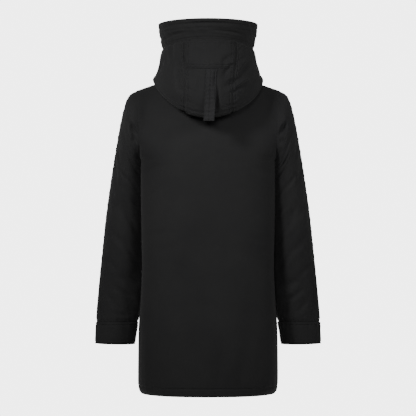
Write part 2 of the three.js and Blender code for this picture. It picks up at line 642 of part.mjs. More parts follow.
// The strap follows the gusset down to its fullest point and hangs straight from there.
// turn is here the distance across the strap in millimetres.
function strapSurface(across, down) {
  const lift = SEAM_GAP + STRAP_WALL;
  const lying = movedOut(hoodSurface, 1, lift);
  const middle = lerp(STRAP.topX, STRAP.endX, clamp(down, 0, 1));
  const along = lerp(STRAP.top, STRAP.leaves, clamp(down / STRAP_LIES, 0, 1));
  const turn = radToDeg(Math.asin((middle + across) / hoodSurface(90, along).x));
  const point = lying(turn, along);
  if (down > STRAP_LIES) {
    const share = (down - STRAP_LIES) / (1 - STRAP_LIES);
    point.z = lerp(point.z, STRAP.endZ, share);
    point.y += STRAP.hangY * share;
  }
  return point;
}

function makeStrap() {
  return clothPiece('hood_strap', strapSurface, {
    rows: spread(0, 1, STRAP_ROWS),
    turns: () => spread(-STRAP.halfWidth, STRAP.halfWidth, STRAP_COLUMNS),
    facing: -1, wall: STRAP_WALL, material: webbingMaterial(),
  });
}

// The front line of the garment, from the hem at -1 to the neck at 1 and the rim at 2
function frontAt(x, up) {
  const sign = Math.sign(x);
  const size = Math.abs(x);
  if (up <= 1) return { surface: frontSurface, facing: -1, turn: sign * turnAt(frontSurface, size, up, 0, 45), along: up };
  const along = up - 1;
  const off = turnAt((turn) => hoodSurface(sign * (180 - turn), along), size, along, 0, 45);
  return { surface: hoodSurface, facing: 1, turn: sign * (180 - off), along };
}

// A surface behind the front line, for the zip
function zipSurface(depth) {
  return (x, up) => {
    const place = frontAt(x === 0 ? 1e-6 : x, up);
    return place.surface(place.turn, place.along)
      .addScaledVector(outward(place.surface, place.facing, place.turn, place.along), -depth);
  };
}

// The zip bends where the cloth bends, and twice at the neck seam
const NECK_STEP = 0.0005;
const zipRows = (from, to) => [
  ...bodyRows.filter((up) => up > from),
  1 + NECK_STEP,
  ...HOOD_ROWS.slice(1).map((along) => 1 + along),
  ...BAND_ROWS.slice(1).map((along) => 1 + along),
].filter((up) => up < to - 0.01);

function zipStrip(name, from, to, depth, wall, end, material) {
  const surface = zipSurface(depth);
  const rows = [ZIP.start, ...zipRows(ZIP.start, end), end];
  const outer = rows.map((up) => [surface(from, up), surface(to, up)]);
  const behind = zipSurface(depth + wall);
  const inner = rows.map((up) => [behind(from, up), behind(to, up)]);
  const points = [...outer.flat(), ...inner.flat()];
  const count = rows.length * 2;
  const faces = [];
  const quad = (a, b, c, d) => faces.push(a, c, b, a, d, c);
  const last = rows.length - 1;
  for (let i = 0; i < last; i += 1) {
    const a = 2 * i;
    quad(a, a + 1, a + 3, a + 2);
    quad(count + a, count + a + 2, count + a + 3, count + a + 1);
    quad(a, a + 2, count + a + 2, count + a);
    quad(a + 1, count + a + 1, count + a + 3, a + 3);
  }
  quad(0, count, count + 1, 1);
  quad(2 * last, 2 * last + 1, count + 2 * last + 1, count + 2 * last);
  return namedMesh(name, points, faces, material);
}

// Place and directions of the slider on the chain
function sliderFrame() {
  const middle = zipSurface(ZIP.chainUnder + ZIP.chainThick / 2);
  const origin = middle(0, ZIP.sliderAt);
  const up = middle(0, ZIP.sliderAt + 0.01).sub(middle(0, ZIP.sliderAt - 0.01)).normalize();
  const side = new THREE.Vector3(1, 0, 0);
  const out = up.clone().cross(side).normalize();
  return { origin, tilt: Math.atan2(up.y, up.z), side, up, out };
}

// Block given by its limits across, out of the cloth and up, in a frame of its own
function block(x0, x1, y0, y1, z0, z1) {
  const geometry = new THREE.BoxGeometry(x1 - x0, y1 - y0, z1 - z0);
  geometry.translate((x0 + x1) / 2, (y0 + y1) / 2, (z0 + z1) / 2);
  return geometry;
}

function toSolid(geometry) {
  const bare = geometry.clone();
  bare.deleteAttribute('normal');
  bare.deleteAttribute('uv');
  const merged = mergeVertices(bare);
  return new wasm.Manifold(new wasm.Mesh({
    numProp: 3,
    vertProperties: new Float32Array(merged.attributes.position.array),
    triVerts: new Uint32Array(merged.index.array),
  }));
}

function toMesh(name, solid, material) {
  const { vertProperties, triVerts } = solid.getMesh();
  const geometry = new THREE.BufferGeometry();
  geometry.setAttribute('position', new THREE.BufferAttribute(new Float32Array(vertProperties), 3));
  geometry.setIndex(new THREE.BufferAttribute(new Uint32Array(triVerts), 1));
  geometry.computeVertexNormals();
  const mesh = new THREE.Mesh(geometry, material);
  mesh.name = name;
  return mesh;
}

function makeSlider(frame) {
  const half = SLIDER.open / 2;
  const face = half + SLIDER.plate;
  const archLow = ARCH.centre - ARCH.halfLength;
  const archHigh = ARCH.centre + ARCH.halfLength;
  const archOut = face + ARCH.reach + ARCH.bar;
  const parts = [
    block(-SLIDER.halfWidth, SLIDER.halfWidth, half, face, -SLIDER.down, SLIDER.up),
    block(-SLIDER.halfWidth, SLIDER.halfWidth, -face, -half, -SLIDER.down, SLIDER.up),
    block(-SLIDER.webHalf, SLIDER.webHalf, -half - 0.5, half + 0.5, SEAM_GAP, SLIDER.up),
    block(-ARCH.halfWidth, ARCH.halfWidth, face - 0.5, archOut, archLow, archLow + ARCH.leg),
    block(-ARCH.halfWidth, ARCH.halfWidth, face - 0.5, archOut, archHigh - ARCH.leg, archHigh),
    block(-ARCH.halfWidth, ARCH.halfWidth, face + ARCH.reach, archOut, archLow, archHigh),
  ];
  const solid = parts.map(toSolid).reduce((whole, part) => whole.add(part));
  const mesh = toMesh('zip_slider', solid, metalMaterial());
  mesh.position.copy(frame.origin);
  mesh.rotation.x = -frame.tilt;
  return mesh;
}

// The pull hangs straight down from its bar, which lies in the slider's arch
function makePull(frame) {
  const outline = new THREE.Shape();
  outline.moveTo(-PULL.halfWidth, PULL.bar / 2);
  outline.lineTo(-PULL.halfWidth, -PULL.shoulder);
  outline.absarc(0, -PULL.length + PULL.wide, PULL.wide, Math.PI, 2 * Math.PI, false);
  outline.lineTo(PULL.halfWidth, -PULL.shoulder);
  outline.lineTo(PULL.halfWidth, PULL.bar / 2);
  outline.closePath();
  const window = new THREE.Path();
  window.moveTo(-PULL.armIn, -PULL.bar / 2);
  window.lineTo(PULL.armIn, -PULL.bar / 2);
  window.lineTo(PULL.armIn, -PULL.window);
  window.lineTo(-PULL.armIn, -PULL.window);
  window.closePath();
  outline.holes.push(window);
  const geometry = new THREE.ExtrudeGeometry(outline, { depth: PULL.thick, bevelEnabled: false, curveSegments: 8 });
  geometry.translate(0, 0, -PULL.thick / 2);
  geometry.rotateX(Math.PI / 2);
  const mesh = new THREE.Mesh(geometry, metalMaterial());
  mesh.name = 'zip_pull';
  const reach = SLIDER.open / 2 + SLIDER.plate + ARCH.reach / 2;
  mesh.position.copy(frame.origin)
    .addScaledVector(frame.up, ARCH.centre)
    .addScaledVector(frame.out, reach);
  return mesh;
}

function makeZip() {
  const tapeDepth = CLOTH_WALL + ZIP.tapeUnder;
  const tape = new THREE.MeshStandardMaterial({ color: 0x1c1c1d, roughness: 0.95, metalness: 0 });
  const chain = new THREE.MeshStandardMaterial({ color: 0x18181a, roughness: 0.5, metalness: 0 });
  const frame = sliderFrame();
  return [
    zipStrip('zip_tape_left', -ZIP.tapeOut, -ZIP.tapeIn, tapeDepth, TAPE_WALL, ZIP.tapeEnd, tape),
    zipStrip('zip_tape_right', ZIP.tapeIn, ZIP.tapeOut, tapeDepth, TAPE_WALL, ZIP.tapeEnd, tape.clone()),
    zipStrip('zip_chain', -ZIP.chainHalf, ZIP.chainHalf, ZIP.chainUnder, ZIP.chainThick, ZIP.sliderAt, chain),
    makeSlider(frame),
    makePull(frame),
  ];
}

const parka = new THREE.Group();
parka.add(
  makeBack(),
  makeFront('left'),
  makeFront('right'),
  ...makeSleeve('left'),
  ...makeSleeve('right'),
  ...makeHood(),
  makeStrap(),
  ...makeZip(),
);

export default parka;
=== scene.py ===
# %% [markdown]
# # A hooded parka, sewn panel by panel
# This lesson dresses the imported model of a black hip-length parka. The frame gives each piece
# its place and size. Every visible surface is then made again as a thin shell of cloth with
# seams, creases and stitches. All shapes are worked out in millimetres, and meshes are in metres.

import bmesh
import bpy
import numpy as np
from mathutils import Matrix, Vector


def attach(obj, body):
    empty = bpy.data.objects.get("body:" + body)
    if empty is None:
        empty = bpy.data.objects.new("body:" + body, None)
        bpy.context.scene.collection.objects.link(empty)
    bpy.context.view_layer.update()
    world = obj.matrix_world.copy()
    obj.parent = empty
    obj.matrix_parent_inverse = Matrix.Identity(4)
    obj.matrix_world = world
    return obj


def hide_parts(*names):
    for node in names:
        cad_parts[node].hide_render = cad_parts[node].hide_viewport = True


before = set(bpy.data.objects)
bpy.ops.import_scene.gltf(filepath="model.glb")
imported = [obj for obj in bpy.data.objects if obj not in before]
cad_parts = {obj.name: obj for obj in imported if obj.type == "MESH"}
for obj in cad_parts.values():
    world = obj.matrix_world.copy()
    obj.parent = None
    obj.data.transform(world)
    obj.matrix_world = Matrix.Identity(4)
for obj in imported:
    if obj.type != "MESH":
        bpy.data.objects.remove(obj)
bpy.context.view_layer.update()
MM = 0.001
GARMENT = "garment"

# %% [markdown]
# ## Camera, light and floor
# The photo was taken from straight behind, level with the middle of the coat and from a few
# metres away. A long lens at 4 m gives the same slight rounding of hem and hood rim. Black
# cloth needs light from both sides, or its folds sink into one flat shape. Grids narrow the
# beams towards the shoulders, so that the coat grows darker towards its hem as it does in the
# photo. Two wide lights in front do the same work for anyone who walks round it.

# %% Camera
VIEW_DISTANCE = 4.0
VIEW_HEIGHT = -0.356
SENSOR = 36.0
# The photo is 416 pixels wide, and each of them covers 2.7 mm of the coat
PHOTO_WIDTH, PIXEL = 416, 2.7
FRAME_WIDTH = PHOTO_WIDTH * PIXEL * MM


def put_in_scene(name, data):
    """A new object in the scene, which holds a camera, a light or a mesh"""
    thing = bpy.data.objects.new(name, data)
    bpy.context.scene.collection.objects.link(thing)
    return thing


camera_data = bpy.data.cameras.new("camera")
camera_data.sensor_width = SENSOR
camera_data.lens = SENSOR * VIEW_DISTANCE / FRAME_WIDTH
camera = put_in_scene("camera", camera_data)
camera.location = (0, -VIEW_DISTANCE, VIEW_HEIGHT)
camera.rotation_euler = (np.pi / 2, 0, 0)
bpy.context.scene.camera = camera
print("lens", round(camera_data.lens, 1), "mm")

# %% Lights
AIM_HEIGHT = -0.2
BEAM, WIDE_BEAM = 54, 140


def soft_light(name, place, size, power, beam=BEAM):
    """A square light aimed at the coat, whose grid narrows its beam to an angle in degrees"""
    data = bpy.data.lights.new(name, "AREA")
    data.size = size
    data.spread = np.radians(beam)
    data.energy = power
    lamp = put_in_scene(name, data)
    lamp.location = place
    aim = Vector((0, 0, AIM_HEIGHT)) - Vector(place)
    lamp.rotation_euler = aim.to_track_quat("-Z", "Y").to_euler()


soft_light("left_light", (-1.45, -1.75, 0.9), 0.45, 5.1)
soft_light("right_light", (1.75, -1.6, 0.75), 0.6, 2.9)
soft_light("camera_light", (-0.25, -3.6, 0.25), 0.5, 4.3)
soft_light("front_left_light", (-0.4, 3.4, 0.8), 0.8, 85, WIDE_BEAM)
soft_light("front_right_light", (0.5, 3.4, 0.2), 0.8, 45, WIDE_BEAM)


# %% Surroundings
def add_node(tree, kind, inputs=None, **settings):
    """A node with its settings, whose inputs are values or the sockets that feed them"""
    node = tree.nodes.new(kind)
    for name, value in settings.items():
        setattr(node, name, value)
    for name, value in (inputs or {}).items():
        if isinstance(value, bpy.types.NodeSocket):
            tree.links.new(value, node.inputs[name])
        else:
            node.inputs[name].default_value = value
    return node


# What is white to the camera gives the coat only a little light
AMBIENT = 0.12
WHITE_BACKDROP = 4.5
world = bpy.data.worlds.new("studio")
world.use_nodes = True
bpy.context.scene.world = world
backdrop = world.node_tree.nodes["Background"]
backdrop.inputs["Color"].default_value = (1, 1, 1, 1)
light_path = add_node(world.node_tree, "ShaderNodeLightPath")
strength = add_node(world.node_tree, "ShaderNodeMapRange",
                    {"Value": light_path.outputs["Is Camera Ray"],
                     "To Min": AMBIENT, "To Max": WHITE_BACKDROP})
world.node_tree.links.new(strength.outputs["Result"], backdrop.inputs["Strength"])
print("backdrop", WHITE_BACKDROP, "to the camera,", AMBIENT, "to the coat")

# %% [markdown]
# ## Finishes
# The shell is a tightly woven, matt black cotton and nylon cloth. It could be one flat dark
# colour, but then it would look like paint. A fine weave in the bump, slow changes of colour
# and a soft sheen on the threads make it cloth. The weave reads the UV map, which is in metres
# on the cloth, so the threads turn with each panel.

# %% Colours and materials
def linear(colour):
    """A hex colour such as 202021 as Blender's linear colour"""
    parts = [int(colour[i:i + 2], 16) / 255 for i in (0, 2, 4)]
    return (*[c / 12.92 if c <= 0.04045 else ((c + 0.055) / 1.055) ** 2.4 for c in parts], 1)


def new_finish(name):
    """A material with nodes, and its tree and shader"""
    finish = bpy.data.materials.new(name)
    finish.use_nodes = True
    return finish, finish.node_tree, finish.node_tree.nodes["Principled BSDF"]


def colour_and_gloss(tree, shader, colours, shade, roughness, gloss, spread):
    """Mixes a dark and a light colour by one pattern, and varies the roughness by another"""
    dark, light = [linear(colour) for colour in colours]
    tone = add_node(tree, "ShaderNodeMix", {"Factor": shade, "A": dark, "B": light}, data_type="RGBA")
    tree.links.new(tone.outputs["Result"], shader.inputs["Base Color"])
    rough = add_node(tree, "ShaderNodeMapRange",
                     {"Value": gloss, "To Min": roughness - spread, "To Max": roughness + spread})
    tree.links.new(rough.outputs["Result"], shader.inputs["Roughness"])


# %% Floor
FLOOR_HEIGHT = -1.4
FLOOR_RADIUS = 2.8
FLOOR_CORNERS = 96
floor_finish, _, floor_shader = new_finish("studio_floor_paint")
floor_shader.inputs["Base Color"].default_value = linear("F2F2F0")
floor_shader.inputs["Roughness"].default_value = 0.9
bpy.ops.mesh.primitive_circle_add(
    vertices=FLOOR_CORNERS, radius=FLOOR_RADIUS, fill_type="NGON", location=(0, 0, FLOOR_HEIGHT))
floor = bpy.context.object
floor.name = "studio_floor"
floor.data.materials.append(floor_finish)
print("floor", floor.name, FLOOR_HEIGHT, "m high")

# %% Woven finishes
WOVEN_SPREAD = 0.07


def woven_finish(name, colours, thread, roughness, relief, ribs=1.0):
    """Cloth of crossed threads. thread is their spacing in millimetres, ribs how much
    stronger the weft is than the warp."""
    finish, tree, shader = new_finish(name)
    place = add_node(tree, "ShaderNodeTexCoord")
    split = add_node(tree, "ShaderNodeSeparateXYZ", {"Vector": place.outputs["UV"]})
    turns = 2 * np.pi / (thread * MM)
    waves = []
    for axis in ("X", "Y"):
        phase = add_node(tree, "ShaderNodeMath", {0: split.outputs[axis], 1: turns}, operation="MULTIPLY")
        wave = add_node(tree, "ShaderNodeMath", {0: phase.outputs[0]}, operation="SINE")
        waves.append(wave.outputs[0])
    weft = add_node(tree, "ShaderNodeMath", {0: waves[1], 1: ribs}, operation="MULTIPLY")
    weave = add_node(tree, "ShaderNodeMath", {0: waves[0], 1: weft.outputs[0]}, operation="ADD")
    slubs = add_node(tree, "ShaderNodeTexNoise",
                     {"Vector": place.outputs["UV"], "Scale": 260.0, "Detail": 3.0, "Roughness": 0.6})
    worn = add_node(tree, "ShaderNodeTexNoise",
                    {"Vector": place.outputs["Object"], "Scale": 9.0, "Detail": 4.0, "Roughness": 0.55})
    mottle = add_node(tree, "ShaderNodeMath",
                      {0: slubs.outputs["Fac"], 1: worn.outputs["Fac"]}, operation="ADD")
    share = add_node(tree, "ShaderNodeMapRange",
                     {"Value": mottle.outputs[0], "From Min": 0.7, "From Max": 1.3})
    colour_and_gloss(tree, shader, colours, share.outputs["Result"],
                     roughness, slubs.outputs["Fac"], WOVEN_SPREAD)
    threads = add_node(tree, "ShaderNodeBump",
                       {"Height": weave.outputs[0], "Distance": relief * MM, "Strength": 0.6})
    grain = add_node(tree, "ShaderNodeBump",
                     {"Height": slubs.outputs["Fac"], "Distance": 0.5 * MM, "Strength": 0.5,
                      "Normal": threads.outputs["Normal"]})
    tree.links.new(grain.outputs["Normal"], shader.inputs["Normal"])
    shader.inputs["Specular IOR Level"].default_value = 0.22
    shader.inputs["Sheen Weight"].default_value = 0.04
    shader.inputs["Sheen Roughness"].default_value = 0.45
    return finish


# The threads of the real cloth are 0.4 mm apart and would not show, so they are drawn at 1.4 mm
cotton_nylon = woven_finish("cotton_nylon_weave", ("121213", "191919"), 1.4, 0.82, 0.1)
# Ribbed polyester webbing, whose crosswise ribs catch the light
webbing = woven_finish("ribbed_polyester_webbing", ("141415", "1B1B1C"), 1.8, 0.8, 0.1, ribs=1.6)
# Zip tape is a flatter weave, a little darker than the shell
zip_tape = woven_finish("woven_zip_tape", ("111112", "171718"), 1.0, 0.85, 0.08)
print("woven", [m.name for m in (cotton_nylon, webbing, zip_tape)])

# %% Hard finishes
HARD_SPREAD = 0.1


def hard_finish(name, colours, roughness, metallic):
    """Nylon or metal with fine wear in its colour and gloss"""
    finish, tree, shader = new_finish(name)
    place = add_node(tree, "ShaderNodeTexCoord")
    wear = add_node(tree, "ShaderNodeTexNoise",
                    {"Vector": place.outputs["Object"], "Scale": 700.0, "Detail": 5.0, "Roughness": 0.6})
    colour_and_gloss(tree, shader, colours, wear.outputs["Fac"], roughness, wear.outputs["Fac"], HARD_SPREAD)
    pits = add_node(tree, "ShaderNodeBump",
                    {"Height": wear.outputs["Fac"], "Distance": 0.05 * MM, "Strength": 0.3})
    tree.links.new(pits.outputs["Normal"], shader.inputs["Normal"])
    shader.inputs["Metallic"].default_value = metallic
    return finish


# Spun polyester thread in the cloth's own black, dull and round
thread_finish = hard_finish("spun_polyester_thread", ("0B0B0C", "131314"), 0.8, 0)
nylon_coil = hard_finish("moulded_nylon_coil", ("121213", "1C1C1D"), 0.42, 0)
# Zinc die casting with a black plated coat, worn a little lighter
black_zinc = hard_finish("black_plated_zinc", ("3A3A3C", "505053"), 0.34, 1)
print("hard", [m.name for m in (thread_finish, nylon_coil, black_zinc)])

# %% [markdown]
# ## The cut of the coat
# A maker works from a pattern with a few sizes, and so does this file. Each table below holds
# rings or sections of the worn coat, a row for each level. A smooth curve through each column
# gives every level between them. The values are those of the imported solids, so each thin
# shell lies on its own solid.

# %% Sizes
WALL = 1.4
SEAM_GAP = 0.3
HEM_Z, UNDERARM_Z = -853, -228
BODY_ROUNDNESS = 2.35
BAND_AT = 0.74
CUFF_AT, CUFF_EDGE_AT = 1, 1.12
NECK_BLEND_AT = 0.12


def table(names, *rows):
    """Rows of numbers under named columns"""
    return dict(zip(names.split(), np.array(rows, float).T))


BODY_SECTIONS = table(
    "z half_width back front",
    (HEM_Z, 180.5, 116, 118),
    (-845, 185.6, 119, 121),
    (-825, 188.5, 121, 123),
    (-750, 188.5, 119, 121),
    (-675, 187, 115, 117),
    (-615, 182.5, 110, 112),
    (-523, 178.3, 106, 108),
    (-440, 179.5, 108, 112),
    (-340, 181, 113, 118),
    (-275, 182, 116, 119),
    (UNDERARM_Z, 184, 118, 119),
)
NECK = {"half_width": 78, "side_y": -8, "back_y": -66, "front_y": 66, "back_z": -14, "front_z": -76}
NECK_FRONT_CURVE = 1.45
NECK_SHARE = {"back": 5 / 12, "front": 6 / 12}
SHOULDER_TIP = np.array((194, -5, -40))
YOKES = {
    "back": table(
        "across low_x low_y low_z high_x high_y high_z",
        (0, 0, -121, -158, 0, -104, -62),
        (0.42, 119, -107, -155, 87, -63, -18),
        (0.75, 171, -106, -200, 151, -62, -42),
        (1, 180, -100, -232, 186, -88, -60),
    ),
    "front": table(
        "across low_x low_y low_z high_x high_y high_z",
        (0, 0, 121, -180, 0, 92, -115),
        (0.5, 136, 104, -165, 92, 54, -26),
        (0.78, 172, 95, -205, 152, 50, -42),
        (1, 181, 94, -232, 187, 74, -62),
    ),
}

# %% Sleeves and hood
SLEEVE_RINGS = table(
    "at outer_x outer_z inner_x inner_z mid_y half_depth",
    (0, 194, -40, 184.3, -228.3, -3, 72),
    (0.02, 207.8, -46.5, 185, -231, -2, 74),
    (0.045, 218.2, -58, 185.4, -234, 0, 76),
    (0.1, 228.6, -90, 184.8, -240, 5, 78),
    (0.18, 239.6, -142, 183.3, -251, 12, 79),
    (0.28, 250.2, -199, 181.3, -270, 22, 78),
    (0.4, 263, -276, 181.1, -312, 28, 74),
    (0.55, 278.9, -385, 178.2, -402, 37, 67),
    (0.7, 290.6, -494, 174, -504, 43, 58),
    (0.85, 299.6, -582, 177, -588, 47, 48),
    (CUFF_AT, 306.6, -664, 189, -664, 49, 40),
    (CUFF_EDGE_AT, 309.2, -725, 199, -727, 49, 37),
)
SEAM_TURN = table("at turn", (0, 0), (0.6, 4), (0.75, 22), (CUFF_AT, 51), (CUFF_EDGE_AT, 53))
HOOD_RINGS = table(
    "at half_width back front mid_y back_z side_z front_z",
    (NECK_BLEND_AT, 112, 112, 74, -10, -62, -6, -60),
    (0.24, 143, 157, 79, -12, -120, -16, -43),
    (0.3, 148.6, 180, 81, -14, -114, -11, -31),
    (0.42, 143.4, 193, 83, -16, -64, 1, -13),
    (0.585, 133.2, 180, 86, -15, 10, 33, 11),
    (0.66, 129.6, 164, 87, -13.5, 49, 51, 21),
    (BAND_AT, 123.9, 148, 88, -12, 86, 71, 32),
    (0.87, 130.3, 152, 92, -10, 112, 104, 52),
    (1, 133.8, 157, 95, -9, 137, 137, 72),
)
HOOD_HANG = table("at left right", (NECK_BLEND_AT, 1.9, 1.9), (0.24, 1.6, 1.3), (0.42, 1.5, 1.1),
                  (BAND_AT, 1.5, 1.5))
FRONT_HANG = 2.2
GUSSET_SEAMS = table("at left right", (0, -36, 36), (0.3, -24.6, 25.5), (BAND_AT, -29.6, 37))
PATCH = {"inset": 0.27 / 8, "low": 0.573, "high": 0.731, "wall": 1.5}
STRAP = {
    "half_width": 12.8, "top_x": 8.5, "end_x": 1.6, "top": 0.566, "leaves": 0.42,
    "lies": 0.5, "end_z": -132, "hang_y": -1.5, "wall": 2.2,
}
ZIP = {"cloth_edge": 5, "tape_in": 3.5, "tape_out": 12, "start": -0.995, "slider_at": 1.86, "tape_end": 1.99}
print("body sections", len(BODY_SECTIONS["z"]), "sleeve rings", len(SLEEVE_RINGS["at"]))

# %% [markdown]
# ## Creases
# Cloth that hangs from the shoulders pulls into soft troughs where it is held, at the
# underarm, the elbow and under the hood. Simulation could find some of them, but not these
# ones, so each is given one by one: where its middle is, how long and wide, which way it
# leans, how deep, and how much it bows. Those called folds are in the solids too.

# %% Folds of the solids
FOLD_COLUMNS = "x y length width lean depth"
FOLDS = {
    "back": table(
        FOLD_COLUMNS,
        (34, -775, 120, 17, 84, -4),
        (-2, -800, 90, 20, 92, 2.5),
        (-138, -200, 70, 22, 100, 3),
        (140, -200, 70, 22, 80, 3),
        (-120, -690, 150, 26, 94, -2.5),
        (118, -640, 150, 26, 87, -2.5),
        (-60, -520, 110, 24, 68, -2),
        (66, -505, 110, 24, 108, -2),
    ),
    "front": table(
        FOLD_COLUMNS,
        (-128, -215, 80, 22, 62, -3),
        (128, -220, 80, 22, 118, -3),
        (-86, -700, 140, 26, 92, -2.5),
        (92, -720, 140, 26, 88, -2.5),
        (70, -500, 90, 24, 60, -2),
        (-74, -512, 90, 24, 122, -2),
    ),
    "left": table(
        FOLD_COLUMNS,
        (98, 30, 46, 11, 130, -12),
        (148, 52, 50, 14, 100, -7),
        (84, 118, 62, 13, 28, -4),
        (150, 205, 48, 11, 38, -6),
        (48, 246, 50, 11, 58, -4),
        (104, 322, 58, 14, 44, -5),
        (150, 452, 95, 20, 94, -9),
        (118, 505, 58, 13, 30, -5),
        (130, 566, 50, 13, 40, -5),
        (272, 150, 62, 14, 150, -4),
        (268, 262, 62, 15, 154, -4),
        (262, 398, 60, 16, 146, -5),
    ),
    "right": table(
        FOLD_COLUMNS,
        (96, 32, 44, 11, 128, -12),
        (150, 56, 48, 14, 98, -7),
        (88, 106, 58, 13, 32, -4),
        (148, 214, 50, 11, 34, -6),
        (50, 232, 48, 11, 60, -4),
        (98, 334, 62, 15, 40, -5),
        (148, 462, 98, 20, 92, -9),
        (112, 516, 60, 13, 28, -5),
        (132, 580, 46, 13, 42, -5),
        (274, 138, 60, 14, 152, -4),
        (264, 280, 64, 15, 150, -4),
        (270, 412, 58, 16, 144, -5),
    ),
    "hood": table(
        FOLD_COLUMNS,
        (66, 232, 46, 10, 24, -5),
        (40, 268, 44, 9, 70, -4),
        (-46, 262, 44, 10, 116, -3),
        (196, 262, 84, 16, 96, -9),
        (-196, 262, 84, 16, 84, -9),
        (132, 218, 52, 14, 30, -4),
        (-128, 300, 60, 14, 84, -3),
    ),
}

